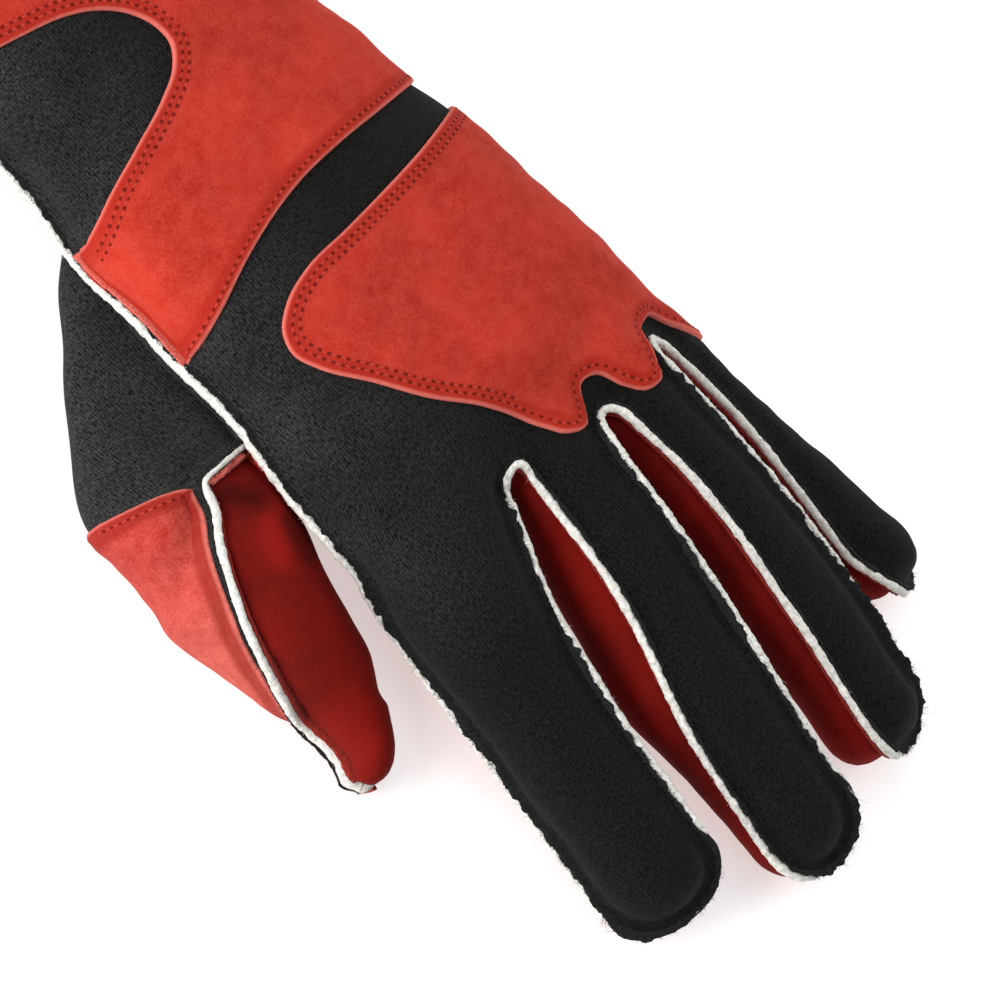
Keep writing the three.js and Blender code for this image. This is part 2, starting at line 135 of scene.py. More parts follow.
# Suede that hangs slack out of a limb's round section: places along it and amounts, in mm
MIDDLE_SLACK = [
    [2, 0], [14, 2.4], [24, 4.2], [38, 5.2], [46, 4.2], [54, 2.3], [62, 0.9], [72, 0.2], [80, 0],
]
MIDDLE_SLACK_TURN = (-30, 64)  # the direction in which it hangs and its spread, in degrees
THUMB_SLACK = [
    [-46, 0], [-38, 1.0], [-34, 3.2], [-30, 5.6], [-26, 6.4], [-20, 5.4], [-14, 3.7], [-7, 2.2],
    [0, 1.0], [6, 0.6], [10, -0.2], [12.3, -0.9], [15, 0], [24, 0],
]
THUMB_SLACK_TURN = (165, 72)
# The dent that the empty thumb takes on its outer side
THUMB_DENT = [[-42, 0], [-36, -1.7], [-31, -2.6], [-26, -1.8], [-23, -0.6], [-21, 0.5], [-18, 0]]
THUMB_DENT_TURN = (0, 62)
# Where the knit's raw edge hides the white one at each fingertip: how far past the tip's middle,
# towards the thumb, and how far back from the tip
TIP_COVER = [[12, 9], [5, 11], [0, 28], [-1, 9]]
THUMB_ROWS = [
    [-92, 25, 7.2, 10.5, 7, 7.4, 0, 100, 0],
    [-84, 31, 7.6, 13.8, 7.3, 7.8, 0, 100, 0],
    [-72, 37, 7.9, 18.4, 7.7, 8.1, 0, 100, 0],
    [-58, 45.4, 8.6, 21.2, 8.2, 8.8, 0, 100, 0],
    [-46, 55, 10.8, 20.1, 10.3, 11, 0, 91, 0],
    [-38, 59.2, 12.5, 16.2, 12.1, 12.8, 0, 90, 0],
    [-33, 60.9, 12.9, 14.7, 12.5, 13.1, 0, 91, 0],
    [-28, 62, 13.2, 13.4, 12.9, 13.4, 0, 80, 0],
    [-15, 61.6, 12.9, 12.5, 12.6, 13.1, 0, 55, 0],
    [0, 59.0, 11.3, 10.4, 11, 10.5, 0, 23, 0],
    [3, 58.3, 10.8, 9.9, 10.4, 9.9, 0, 14, 0],
    [6.5, 57.2, 10.2, 8.5, 9.2, 9.0, 0, -8, 0],
    [10, 57.2, 9.7, 7.4, 8, 8.7, 0, -13, 0],
    [15, 57.5, 9.2, 6.1, 6.9, 8, 0, -16, 0],
    [18, 58.2, 8.7, 5.4, 6, 7.4, 0, -16, 0],
]

# Outlines of the patches seen from above, as x and y
KNUCKLE_PATCH = [
    [-60, -66], [-30, -61.8], [-15.6, -59.6], [-3, -58.2], [9, -57.1], [20.3, -56.2],
    [27.2, -53.8], [31.6, -50], [32.8, -45.5], [31.2, -40.5], [25.1, -32], [18.7, -23.5],
    [10.9, -16], [6.4, -11], [2.6, -5.6], [-0.4, -2], [-4.2, -0.8], [-7.4, -3.4], [-11, -7.6],
    [-15, -7], [-18.4, -2], [-21.6, 1.4], [-24.8, 1.6], [-28.4, -2.6], [-32, -8.6], [-36, -9.4],
    [-40.4, -4.4], [-46, 1], [-60, 5],
]
WRIST_PATCH_EDGE = [
    [-60, -70.5], [-28, -70.3], [-16, -70.2], [-3.6, -70.2], [8.2, -69.4], [19.8, -67],
    [28.2, -64.2], [37, -60.2], [60, -50],
]
WRIST_WINDOW = [
    [60, -74], [44.5, -84.9], [37.3, -89.7], [28.8, -93.3], [18.3, -97.4], [12.6, -100.6],
    [9.6, -104.6], [9.8, -109], [12, -113.2], [16.1, -117], [22.6, -120.4], [30.8, -122.7], [38, -124.4],
    [60, -128],
]
THUMB_CAP = [[40, -30], [60, -39.1], [73.5, -44], [90, -51], [90, 40], [40, 40]]
# A fold pressed into the thumb, from x, y to x, y, with its half width and depth
THUMB_FOLD = [63.0, -36.5, 73.6, -25.5, 3.0, 2.3]
# Strokes of painted highlight (positive) and painted shade (negative) on the thumb's front: their
# ends as places along the thumb and sideways as the camera sees it, width and amount
PAINTED_LIGHT_STROKES = [
    ((-26.0, 34.3), (-19.0, 37.2), 3.0, 0.6), ((-34.0, 38.0), (-29.5, 34.0), 2.6, -1.0),
    ((-22.0, 31.4), (-15.0, 33.4), 1.5, -0.7),
]
SIDEWAYS = np.array((0.883, 0.0, -0.469))  # across the glove, as the camera sees it
CAP_MARGIN = 1.7  # of the cap's edge from the thumb's seam, in mm


def smooth_rows(rows, places):
    """Rows of a table read at places between them, along smooth curves."""
    knots = rows[:, 0]
    slopes = np.gradient(rows, knots, axis=0)
    at = np.clip(np.searchsorted(knots, places, side="right") - 1, 0, len(knots) - 2)
    span = (knots[at + 1] - knots[at])[:, None]
    t = np.clip((places - knots[at]) / span[:, 0], 0, 1)[:, None]
    a, b = rows[at], rows[at + 1]
    start, end = slopes[at] * span, slopes[at + 1] * span
    return (
        (2 * t**3 - 3 * t**2 + 1) * a
        + (t**3 - 2 * t**2 + t) * start
        + (3 * t**2 - 2 * t**3) * b
        + (t**3 - t**2) * end
    )


class Limb:
    """One tube of the glove, with its sections, how square they are, and its rounded tip."""

    def __init__(self, power, rows, tip=None):
        self.power = power
        self.rows = np.array(rows, float)
        if self.rows.shape[1] == 6:
            y, x, z, radius, thumb, little = self.rows.T
            self.rows = np.stack([y, x, z, radius, radius, radius, 0 * y, thumb, little], 1)
        self.tip = tip
        self.start = self.rows[0, Y]
        self.end = self.rows[-1, Y] if tip is None else tip[0]

    def sections(self, places):
        """The section at each place along the limb."""
        places = np.atleast_1d(np.asarray(places, float))
        last = self.rows[-1]
        made = np.ones((len(places), 10))
        made[:, :SCALE] = smooth_rows(self.rows, np.clip(places, self.start, last[Y]))
        made[:, Y] = places
        if self.tip is not None:
            share = np.clip((places - last[Y]) / (self.end - last[Y]), 0, 1)
            for column, value in zip((X, Z, THUMB_SEAM, LITTLE_SEAM), self.tip[1:]):
                made[:, column] += share * (value - last[column])
            made[:, SCALE] = (1 - share**TIP_POWER) ** (1 / TIP_POWER)
        return made

    def points(self, places, degrees, grow=0.0):
        """Points on the limb's surface, or at a distance from it."""
        s = self.sections(places)
        angle = np.radians(degrees)
        roll = np.radians(s[:, ROLL])
        bend = 2 / self.power
        across, up = np.cos(angle), np.sin(angle)
        height = np.where(up > 0, s[:, RISE], s[:, DROP])
        u = s[:, SCALE] * (s[:, HALF] + grow) * np.sign(across) * np.abs(across) ** bend
        v = s[:, SCALE] * (height + grow) * np.sign(up) * np.abs(up) ** bend
        x = s[:, X] + u * np.cos(roll) - v * np.sin(roll)
        z = s[:, Z] + u * np.sin(roll) + v * np.cos(roll)
        return np.stack([x, s[:, Y] + 0 * x, z], 1)

    def polar(self, points):
        """How far outside the limb points lie, and their angles round it."""
        s = self.sections(points[:, 1])
        roll = np.radians(s[:, ROLL])
        dx, dz = points[:, 0] - s[:, X], points[:, 2] - s[:, Z]
        u = dx * np.cos(roll) + dz * np.sin(roll)
        v = -dx * np.sin(roll) + dz * np.cos(roll)
        scale = np.maximum(s[:, SCALE], 0.05)
        height = np.where(v > 0, s[:, RISE], s[:, DROP]) * scale
        across, up = u / (s[:, HALF] * scale), v / height
        level = (np.abs(across) ** self.power + np.abs(up) ** self.power) ** (1 / self.power)
        square = self.power / 2
        angle = np.degrees(np.arctan2(
            np.sign(up) * np.abs(up) ** square,
            np.sign(across) * np.abs(across) ** square,
        ))
        radius = np.hypot(u, v)
        away = radius - radius / np.maximum(level, 1e-6)
        past = np.maximum(points[:, 1] - self.end, self.start - points[:, 1])
        return np.where(past > 0, np.hypot(np.maximum(away, 0), past), away), angle


HAND = Limb(2.5, HAND_ROWS)
INDEX = Limb(2, INDEX_ROWS, (79.3, 31.6, 10.5, -16, 150))
MIDDLE = Limb(2, MIDDLE_ROWS, (89.5, 2.0, 10.5, 16, 152))
RING = Limb(2, RING_ROWS, (82, -24.6, 9.8, 52, 205))
LITTLE = Limb(2, LITTLE_ROWS, (59.7, -48.4, 8.2, 60, 226))
THUMB = Limb(2, THUMB_ROWS, (24.6, 61.4, 7.8, -14, -14))
FINGERS = (INDEX, MIDDLE, RING, LITTLE)


def unit(vectors):
    """Vectors at length one."""
    return vectors / np.maximum(np.linalg.norm(vectors, axis=-1, keepdims=True), 1e-9)


def smooth_curve(points, step):
    """A dense smooth curve through points, a step apart."""
    points = np.array(points, float)
    run = np.r_[0, np.cumsum(np.linalg.norm(np.diff(points, axis=0), axis=1))]
    places = np.linspace(0, run[-1], max(int(run[-1] / step), 2))
    return smooth_rows(np.column_stack([run, points]), places)[:, 1:]


def resample(points, step):
    """A chain of points with even steps."""
    run = np.r_[0, np.cumsum(np.linalg.norm(np.diff(points, axis=0), axis=1))]
    places = np.linspace(0, run[-1], max(int(run[-1] / step), 2))
    return np.stack([np.interp(places, run, column) for column in points.T], 1)


def averaged(values, reach):
    """Values along a chain, each averaged with its neighbours within reach, ends kept."""
    out = np.array(values, float)
    count = len(out)
    at = np.arange(count)
    room = np.minimum(np.minimum(at, count - 1 - at), reach)
    total = np.concatenate([np.zeros((1,) + out.shape[1:]), np.cumsum(out, axis=0)])
    span = (2 * room + 1).reshape((-1,) + (1,) * (out.ndim - 1))
    return (total[at + room + 1] - total[at - room]) / span


def seam_of(limb, column, start, end):
    """Points of a seam along a limb and the directions in which its raw edge stands out."""
    body_end = limb.rows[-1, Y]
    y = np.arange(start, min(end, body_end), 1.0)
    if end > body_end:
        share = np.sin(np.linspace(0, np.pi / 2, 40))[:-1]
        y = np.r_[y, body_end + (end - body_end) * share]
    angle = limb.sections(y)[:, column]
    points = limb.points(y, angle)
    around = limb.points(y, angle + 3) - limb.points(y, angle - 3)
    along = np.gradient(points, axis=0)
    out = unit(np.cross(around, along))
    middle = limb.sections(y)[:, [X, Y, Z]]
    inward = np.einsum("ij,ij->i", out, points - middle) < 0
    out[inward] *= -1
    return points, out


def point_tree(points):
    """A search tree over points."""
    tree = KDTree(len(points))
    for i, point in enumerate(points):
        tree.insert(point, i)
    tree.balance()
    return tree


def distances(tree, points):
    """How far points are from a tree's nearest."""
    return np.array([tree.find(p)[2] for p in points])


class SeamPath:
    """A seam as even steps, with its directions along, out of the seam and towards the knit."""

    def __init__(self, points, out, knit_side, surface, ease):
        """Ease is how far its corners are rounded, in mm."""
        both = resample(np.column_stack([points, out]), SEAM_STEP)
        chain = averaged(both[:, :3], round(ease / SEAM_STEP))
        snapped = np.array([surface.find_nearest(Vector(p))[0] for p in chain])
        self.points = averaged(snapped, round(0.75 * ease / SEAM_STEP))
        self.along = unit(np.gradient(self.points, axis=0))
        out = averaged(both[:, 3:], round(3.0 / SEAM_STEP))
        out -= self.along * np.einsum("ij,ij->i", out, self.along)[:, None]
        self.out = unit(out)
        self.side = unit(np.cross(self.out, self.along)) * knit_side
        self.tree = point_tree(self.points)

    def nearest(self, points):
        """The nearest step to each point and how far it is."""
        found = [self.tree.find(p)[1:] for p in points]
        return np.array([i for i, _ in found]), np.array([d for _, d in found])


def main_seam(surface):
    """The seam round the back panel, from the hem up the thumb side and back down."""
    points, out = [], []

    def add(seam, reverse=False):
        """Appends a stretch of seam."""
        for store, values in zip((points, out), seam):
            store.append(values[::-1] if reverse else values)

    add(seam_of(HAND, THUMB_SEAM, HEM_Y, HAND_SEAMS_END))
    starts = [end + SLOT_TAPER for end, _ in SLOT_ENDS]
    for i, limb in enumerate(FINGERS):
        if i > 0:
            before, start = FINGERS[i - 1], starts[i - 1]
            end_y, share = SLOT_ENDS[i - 1]
            a = before.points([start], before.sections([start])[:, LITTLE_SEAM])[0]
            b = limb.points([start], limb.sections([start])[:, THUMB_SEAM])[0]
            end = a + (b - a) * share
            # The slot's end takes its height from the cloth just behind it
            over = Vector((end[0], end_y - SLOT_CORNER, ABOVE))
            behind = surface.ray_cast(over, Vector((0, 0, -1)))[0]
            end = np.array((end[0], end_y, behind.z))
            low_a, low_b = (a + end) / 2, (b + end) / 2
            low_a[1] = low_b[1] = end_y + SLOT_CORNER
            up = np.array((0, 0.35, 0.94))
            add((np.array([low_a, end, low_b]), np.array([up, up, up])))
        near = OUTER_SEAMS_START if i == 0 else starts[i - 1]
        far = OUTER_SEAMS_START if i == len(starts) else starts[i]
        add(seam_of(limb, THUMB_SEAM, near, limb.end))
        tip = limb.sections([limb.end])[:, [X, Y, Z]]
        add((tip, np.array([[0, 1.0, 0]])))
        add(seam_of(limb, LITTLE_SEAM, far, limb.end), reverse=True)
    add(seam_of(HAND, LITTLE_SEAM, HEM_Y, HAND_SEAMS_END), reverse=True)
    return SeamPath(np.concatenate(points), np.concatenate(out), 1, surface, 2.0)


def thumb_seam(surface):
    """The thumb's outside seam, across the web and along the thumb almost to its tip."""
    web = THUMB.points([WEB_Y] * len(WEB_TURNS), WEB_TURNS)
    middle = THUMB.sections([WEB_Y])[:, [X, Y, Z]]
    points, out = seam_of(THUMB, THUMB_SEAM, WEB_Y + 1.2, THUMB.end)
    short = points[:, 1] < THUMB.end - THUMB_SEAM_STOP
    return SeamPath(
        np.concatenate([web, points[short]]),
        np.concatenate([unit(web - middle), out[short]]),
        -1,
        surface,
        1.2,
    )


# Meshes


def read_points(mesh):
    """A mesh's vertices as an array."""
    points = np.empty(len(mesh.vertices) * 3)
    mesh.vertices.foreach_get("co", points)
    return points.reshape(-1, 3)


def read_centres(mesh):
    """The middles of a mesh's faces as an array."""
    centres = np.empty(len(mesh.polygons) * 3)
    mesh.polygons.foreach_get("center", centres)
    return centres.reshape(-1, 3)


def write_points(mesh, points):
    """Moves a mesh's vertices."""
    mesh.vertices.foreach_set("co", np.asarray(points, float).ravel())
    mesh.update()


def read_normals(mesh):
    """A mesh's vertex normals as an array."""
    normals = np.empty(len(mesh.vertices) * 3)
    mesh.vertex_normals.foreach_get("vector", normals)
    return normals.reshape(-1, 3)


def smooth_out(bm, verts, rounds):
    """Smooths some of a bmesh's vertices, a number of times."""
    for _ in range(rounds):
        bmesh.ops.smooth_vert(
            bm, verts=verts, factor=0.5, use_axis_x=True, use_axis_y=True, use_axis_z=True
        )


def even_lines(neighbours, rounds):
    """Turns stair-stepped lines into smooth ones, from each vertex's neighbours along them."""
    for _ in range(rounds):
        moved = {
            vert: vert.co * 0.5 + (near[0].co + near[1].co) * 0.25
            for vert, near in neighbours.items()
            if len(near) == 2
        }
        for vert, place in moved.items():
            vert.co = place


def rolled_grid(around, along, shape):
    """A grid rolled into a closed tube; shape gives points for shares around and along."""
    bm = bmesh.new()
    bmesh.ops.create_grid(bm, x_segments=around, y_segments=along, size=0.5)
    shares = np.array([v.co[:2] for v in bm.verts]) + 0.5
    for vert, point in zip(bm.verts, shape(shares[:, 0], shares[:, 1])):
        vert.co = point
    bmesh.ops.remove_doubles(bm, verts=bm.verts, dist=1e-4)
    rims = [edge for edge in bm.edges if edge.is_boundary]
    bmesh.ops.holes_fill(bm, edges=rims, sides=0)
    bmesh.ops.recalc_face_normals(bm, faces=bm.faces)
    return bm


def limb_tube(limb, around=72):
    """A limb as a closed smooth tube."""
    body_end = limb.rows[-1, Y]
    hem = 3.0 if limb is HAND else 0.0
    count = int((limb.end - limb.start) / 1.5)

    def shape(turn, share):
        """Even steps along the body, finer ones round the tip."""
        if limb.tip is None:
            y = limb.start - hem + share * (limb.end - limb.start + hem)
        else:
            split = 0.8
            body = limb.start + (body_end - limb.start) * share / split
            tip = np.sin(np.clip((share - split) / (1 - split), 0, 1) * np.pi / 2)
            y = np.where(share < split, body, body_end + (limb.end - body_end) * tip)
        points = limb.points(y, turn * 360)
        points[:, 1] = y
        return points

    return rolled_grid(around, count, shape)


def joined_skin(name, limbs, webs, voxel, rounds):
    """One closed skin over several tubes and webs, in the drawing's millimetres."""
    bm = bmesh.new()
    for limb in limbs:
        tube = limb_tube(limb)
        part = bpy.data.meshes.new("tube")
        tube.to_mesh(part)
        tube.free()
        bm.from_mesh(part)
        bpy.data.meshes.remove(part)
    for web in webs:
        ball = bmesh.ops.create_icosphere(bm, subdivisions=3, radius=1)["verts"]
        bmesh.ops.scale(bm, verts=ball, vec=web[3:])
        bmesh.ops.translate(bm, verts=ball, vec=web[:3])
    mesh = bpy.data.meshes.new(name)
    bm.to_mesh(mesh)
    bm.free()
    holder = bpy.data.objects.new(name, mesh)
    bpy.context.scene.collection.objects.link(holder)
    remesh = holder.modifiers.new("Remesh", "REMESH")
    remesh.mode = "VOXEL"
    remesh.voxel_size = voxel
    smooth = holder.modifiers.new("Smooth", "SMOOTH")
    smooth.iterations = rounds
    smooth.factor = 0.5
    graph = bpy.context.evaluated_depsgraph_get()
    skin = bpy.data.meshes.new_from_object(holder.evaluated_get(graph))
    bpy.data.objects.remove(holder)
    bpy.data.meshes.remove(mesh)
    return skin


def tree_of(mesh, in_frame=False):
    """A search tree over a mesh in the drawing's millimetres, or one turned back from the frame."""
    points = read_points(mesh)
    if in_frame:
        points = points / MM - DRAWING_ORIGIN
    return BVHTree.FromPolygons(
        [tuple(p) for p in points], [tuple(f.vertices) for f in mesh.polygons]
    )


def nearest_node(points, nodes):
    """For each point, which of the CAD nodes is nearest."""
    away = []
    for node in nodes:
        tree = tree_of(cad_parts[node].data, in_frame=True)
        away.append([tree.find_nearest(Vector(p))[3] for p in points])
    return np.argmin(np.array(away), axis=0)


def soft_noise(points, wavelength, seed, waves=9):
    """Soft hills and hollows about a wavelength apart, from -1 to 1."""
    rng = np.random.default_rng(seed)
    directions = unit(rng.normal(size=(waves, 3)))
    lengths = wavelength * rng.uniform(0.7, 1.5, waves)
    phases = rng.uniform(0, 2 * np.pi, waves)
    turns = points @ directions.T * (2 * np.pi / lengths) + phases
    return np.sin(turns).sum(axis=1) / np.sqrt(waves)


def inside_outline(points, outline):
    """Which points lie inside a closed outline seen from above."""
    x, y = points[:, 0][:, None], points[:, 1][:, None]
    a, b = outline, np.roll(outline, -1, axis=0)
    crosses = (a[:, 1] > y) != (b[:, 1] > y)
    slope = (b[:, 0] - a[:, 0]) / np.where(b[:, 1] == a[:, 1], 1e-9, b[:, 1] - a[:, 1])
    return (crosses & (x < a[:, 0] + (y - a[:, 1]) * slope)).sum(axis=1) % 2 == 1


def finish_piece(name, mesh, materials, nodes):
    """An object from a mesh in millimetres, riding in the frame in place of CAD nodes."""
    write_points(mesh, (read_points(mesh) + DRAWING_ORIGIN) * MM)
    mesh.materials.clear()
    for material in materials:
        mesh.materials.append(material)
    mesh.polygons.foreach_set("use_smooth", [True] * len(mesh.polygons))
    piece = bpy.data.objects.new(name, mesh)
    bpy.context.scene.collection.objects.link(piece)
    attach(piece, "root")
    if nodes:
        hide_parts(*nodes)
    return piece


def to_mesh(bm, name):
    """A mesh from a bmesh, which is freed."""
    mesh = bpy.data.meshes.new(name)
    bm.to_mesh(mesh)
    bm.free()
    return mesh


SHAPE = {}  # the skins, seam paths and panels, made once


def shape():
    """The skins of the hand and the thumb and the seams on them, made at the first call."""
    if SHAPE:
        return SHAPE
    voxel = 1.0
    hand = joined_skin("hand_skin", (HAND,) + FINGERS, [FINGER_WEB], voxel, 6)
    thumb = joined_skin("thumb_skin", (THUMB,), [], voxel * 0.9, 4)
    soften_knuckles(hand)
    hang_slack(hand, MIDDLE, MIDDLE_SLACK, MIDDLE_SLACK_TURN)
    hang_slack(thumb, THUMB, THUMB_SLACK, THUMB_SLACK_TURN)
    hang_slack(thumb, THUMB, THUMB_DENT, THUMB_DENT_TURN)
    press_fold(thumb)
    SHAPE["hand_tree"] = tree_of(hand)
    SHAPE["thumb_tree"] = tree_of(thumb)
    SHAPE["main"] = main_seam(SHAPE["hand_tree"])
    SHAPE["thumb"] = thumb_seam(SHAPE["thumb_tree"])
    SHAPE["hand_skin"] = hand
    SHAPE["thumb_skin"] = thumb
    return SHAPE


def soften_knuckles(mesh):
    """Lets the fingers flow into the back of the hand instead of meeting it in a crease."""
    bm = bmesh.new()
    bm.from_mesh(mesh)
    start, slots, end, top = KNUCKLE_ZONE
    near = [
        v for v in bm.verts
        if start < v.co.y < slots or slots <= v.co.y < end and v.co.z > top
    ]
    smooth_out(bm, near, 30)
    bm.to_mesh(mesh)
    bm.free()


def hang_slack(mesh, limb, rows, turn):
    """Lets a limb's side hang out of its round section, or fall in, as with no hand inside."""
    direction, spread = turn
    points = read_points(mesh)
    away, angle = limb.polar(points)
    off = (angle - direction + 180) % 360 - 180
    share = np.clip(1 - (off / spread) ** 2, 0, 1) ** 2 * np.clip(2 - np.abs(away), 0, 1)
    rows = np.array(rows, float)
    size = np.interp(points[:, 1], rows[:, 0], rows[:, 1])
    middle = limb.sections(points[:, 1])
    way = points - middle[:, [X, Y, Z]]
    way[:, 1] = 0
    write_points(mesh, points + unit(way) * (size * share)[:, None])
    bm = bmesh.new()
    bm.from_mesh(mesh)
    near = [v for v, s in zip(bm.verts, size * share) if abs(s) > 0.2]
    smooth_out(bm, near, 3)
    bm.to_mesh(mesh)
    bm.free()


def press_fold(mesh):
    """Presses the thumb's fold into its upper side."""
    x0, y0, x1, y1, half, depth = THUMB_FOLD
    start, way = np.array((x0, y0)), np.array((x1 - x0, y1 - y0))
    points, normals = read_points(mesh), read_normals(mesh)
    share = np.clip((points[:, :2] - start) @ way / (way @ way), 0, 1)
    away = np.linalg.norm(points[:, :2] - start - way * share[:, None], axis=1)
    pressed = depth * np.exp(-((away / half) ** 2)) * np.clip(normals[:, 2] * 3, 0, 1)
    write_points(mesh, points - normals * pressed[:, None])


PANELS = (
    "back_panel",
    "palm_panel",
    "fourchette_index_middle",
    "fourchette_middle_ring",
    "fourchette_ring_little",
)
# The strip of the thumb's knit on the hand's side, from the main seam down to the thumb
THUMB_STRIP = "thumb_back_strip"
THUMB_STRIP_REACH = (-106.0, -37.5)  # from y to y
# Its lower edge: the height in mm, the y behind which that rises, and by how much for each mm
THUMB_STRIP_FLOOR = (9.0, -90.0, 0.5)
SEAM_ZONE = 6.0  # how near the main seam it decides between the knit and the suede, in mm


def label_hand(mesh, seam):
    """Which panel each face of the hand's skin belongs to, by number; the strip comes last."""
    centres = read_centres(mesh)
    labels = nearest_node(centres, PANELS)
    at, away = seam.nearest(centres)
    side = np.einsum("ij,ij->i", centres - seam.points[at], seam.side[at])
    near = away < SEAM_ZONE
    others = nearest_node(centres[near], PANELS[1:]) + 1
    labels[near] = np.where(side[near] > 0, 0, others)
    x, y, z = centres.T
    low, taper, slope = THUMB_STRIP_FLOOR
    floor = low + slope * np.clip(taper - y, 0, None)
    strip = (x > 20) & (y > THUMB_STRIP_REACH[0]) & (y < THUMB_STRIP_REACH[1]) & (z > floor)
    labels[strip & (labels == 1)] = len(PANELS)
    # Behind a slot's end the upper side is knit
    for wall, (end_y, _) in enumerate(SLOT_ENDS, start=2):
        labels[(labels == wall) & (y < end_y - 0.3) & (z > 15)] = 0
    return labels


def label_thumb(mesh):
    """Which faces of the thumb's skin are its red front, as 1, and its knit back, as 0."""
    centres = read_centres(mesh)
    _, angle = THUMB.polar(centres)
    seam_angle = THUMB.sections(centres[:, 1])[:, THUMB_SEAM]
    turn = (angle - seam_angle) % 360
    front = (turn < (THUMB_UNDERSEAM + 360 - seam_angle)) & (centres[:, 1] > WEB_Y)
    return front.astype(int)


def even_borders(bm, layer):
    """Turns the stair-stepped borders between panels into smooth lines."""
    borders = {}
    for edge in bm.edges:
        faces = edge.link_faces
        if len(faces) == 2 and faces[0][layer] != faces[1][layer]:
            a, b = edge.verts
            borders.setdefault(a, []).append(b)
            borders.setdefault(b, []).append(a)
    even_lines(borders, 8)
    near = {v for b in borders for e in b.link_edges for v in e.verts if v not in borders}
    smooth_out(bm, list(near), 2)


def without_specks(bm, layer):
    """Gives a face that lies among another panel's faces to that panel."""
    for _ in range(3):
        for face in bm.faces:
            near = [f[layer] for e in face.edges for f in e.link_faces if f is not face]
            if near:
                most = max(set(near), key=near.count)
                if most != face[layer] and near.count(most) >= 3:
                    face[layer] = most


def split_skin(mesh, labels):
    """A skin cut into its panels, one mesh for each label."""
    bm = bmesh.new()
    bm.from_mesh(mesh)
    layer = bm.faces.layers.int.new("panel")
    for face, label in zip(bm.faces, labels):
        face[layer] = int(label)
    without_specks(bm, layer)
    even_borders(bm, layer)
    panels = []
    for label in sorted(set(int(value) for value in labels)):
        part = bm.copy()
        own = part.faces.layers.int.get("panel")
        bmesh.ops.delete(part, geom=[f for f in part.faces if f[own] != label], context="FACES")
        panels.append(part)
    bm.free()
    return panels


def cloth_relief(points, normals, seam, wrinkle, flare, seed):
    """Soft wrinkles and the pull of the seam with its small puckers, as moved points.

    Flare is how far the cloth turns out into its raw edge at each step of the seam, in mm;
    without it the cloth is only drawn in.
    """
    moved = points + normals * (wrinkle * soft_noise(points, 22, seed))[:, None]
    at, away = seam.nearest(points)
    run = at * SEAM_STEP
    # Puckers about 7 mm apart, which drift along the seam so that no two stretches are alike
    pucker = 1 + 0.35 * np.sin(run * 2 * np.pi / 7.3 + 2 * np.sin(run / 9.1))
    # The cloth swells a little beside the seam and is drawn in at it
    swell = 0.2 * np.exp(-(((away - 6.5) / 3) ** 2)) * pucker
    if flare is None:
        dip = 1.0 * np.exp(-((away / 1.9) ** 2)) * pucker
    else:
        dip = 0.28 * np.exp(-(((away - 3.0) / 1.1) ** 2)) * pucker
        moved += seam.out[at] * (flare[at] * np.exp(-((away / 1.7) ** 2)))[:, None]
    moved += normals * (swell - dip)[:, None]
    moved[:, 2] = np.maximum(moved[:, 2], 0.05)
    return moved


def arc_from_top(limb, points):
    """Distances over a limb's surface from its upper mid-line, positive on the thumb side."""
    _, angle = limb.polar(points)
    angle = np.where(angle < -90, angle + 360, angle)
    steps = 16  # chords that stand for the arc
    length = np.zeros(len(points))
    before = limb.points(points[:, 1], np.full(len(points), 90.0))
    for k in range(1, steps + 1):
        after = limb.points(points[:, 1], 90 + (angle - 90) * k / steps)
        length += np.linalg.norm(after - before, axis=1)
        before = after
    return np.where(angle < 90, length, -length)


def weave_map(mesh, points, limbs):
    """A UV map in metres of flat cloth, so that the ribs follow the knit panel."""
    hand = limbs[0]
    u = hand.sections(points[:, 1])[:, X] + arc_from_top(hand, points)
    if len(limbs) > 1:
        away = np.array([limb.polar(points)[0] for limb in limbs[1:]])
        nearest = np.argmin(np.abs(away), axis=0)
        # From the hand's own ribs to each finger's, over the knuckles
        share = np.clip((points[:, 1] + 24) / 24, 0, 1)
        share = share * share * (3 - 2 * share)
        for i, limb in enumerate(limbs[1:]):
            own = nearest == i
            if own.any():
                finger = limb.sections(points[own, 1])[:, X] + arc_from_top(limb, points[own])
                u[own] += share[own] * (finger - u[own])
    flat = np.column_stack([u, points[:, 1]]) * MM
    corners = np.empty(len(mesh.loops), int)
    mesh.loops.foreach_get("vertex_index", corners)
    layer = mesh.uv_layers.new(name="weave")
    layer.data.foreach_set("uv", flat[corners].ravel())


def thicken(piece, thickness):
    """A wall inwards from a panel's face, with the lining's material inside and at its rim."""
    wall = piece.modifiers.new("Wall", "SOLIDIFY")
    wall.thickness = thickness * MM
    wall.offset = -1
    wall.material_offset = 1
    wall.material_offset_rim = 1


# Materials


def linear(code):
    """A colour's sRGB hex code as linear red, green, blue and alpha."""
    shares = [int(code[i : i + 2], 16) / 255 for i in (0, 2, 4)]
    return [s / 12.92 if s <= 0.04045 else ((s + 0.055) / 1.055) ** 2.4 for s in shares] + [1.0]


def add_node(tree, kind, inputs=None, **settings):
    """Adds a node with its settings; an input is a value or another node's socket."""
    made = tree.nodes.new(kind)
    for name, value in settings.items():
        setattr(made, name, value)
    for key, value in (inputs or {}).items():
        if isinstance(value, bpy.types.NodeSocket):
            tree.links.new(value, made.inputs[key])
        else:
            made.inputs[key].default_value = value
    return made


def new_material(name):
    """An empty node material, its tree and its shader."""
    material = bpy.data.materials.new(name)
    material.use_nodes = True
    tree = material.node_tree
    tree.nodes.clear()
    shader = add_node(tree, "ShaderNodeBsdfPrincipled")
    add_node(tree, "ShaderNodeOutputMaterial", {"Surface": shader.outputs["BSDF"]})
    return material, tree, shader


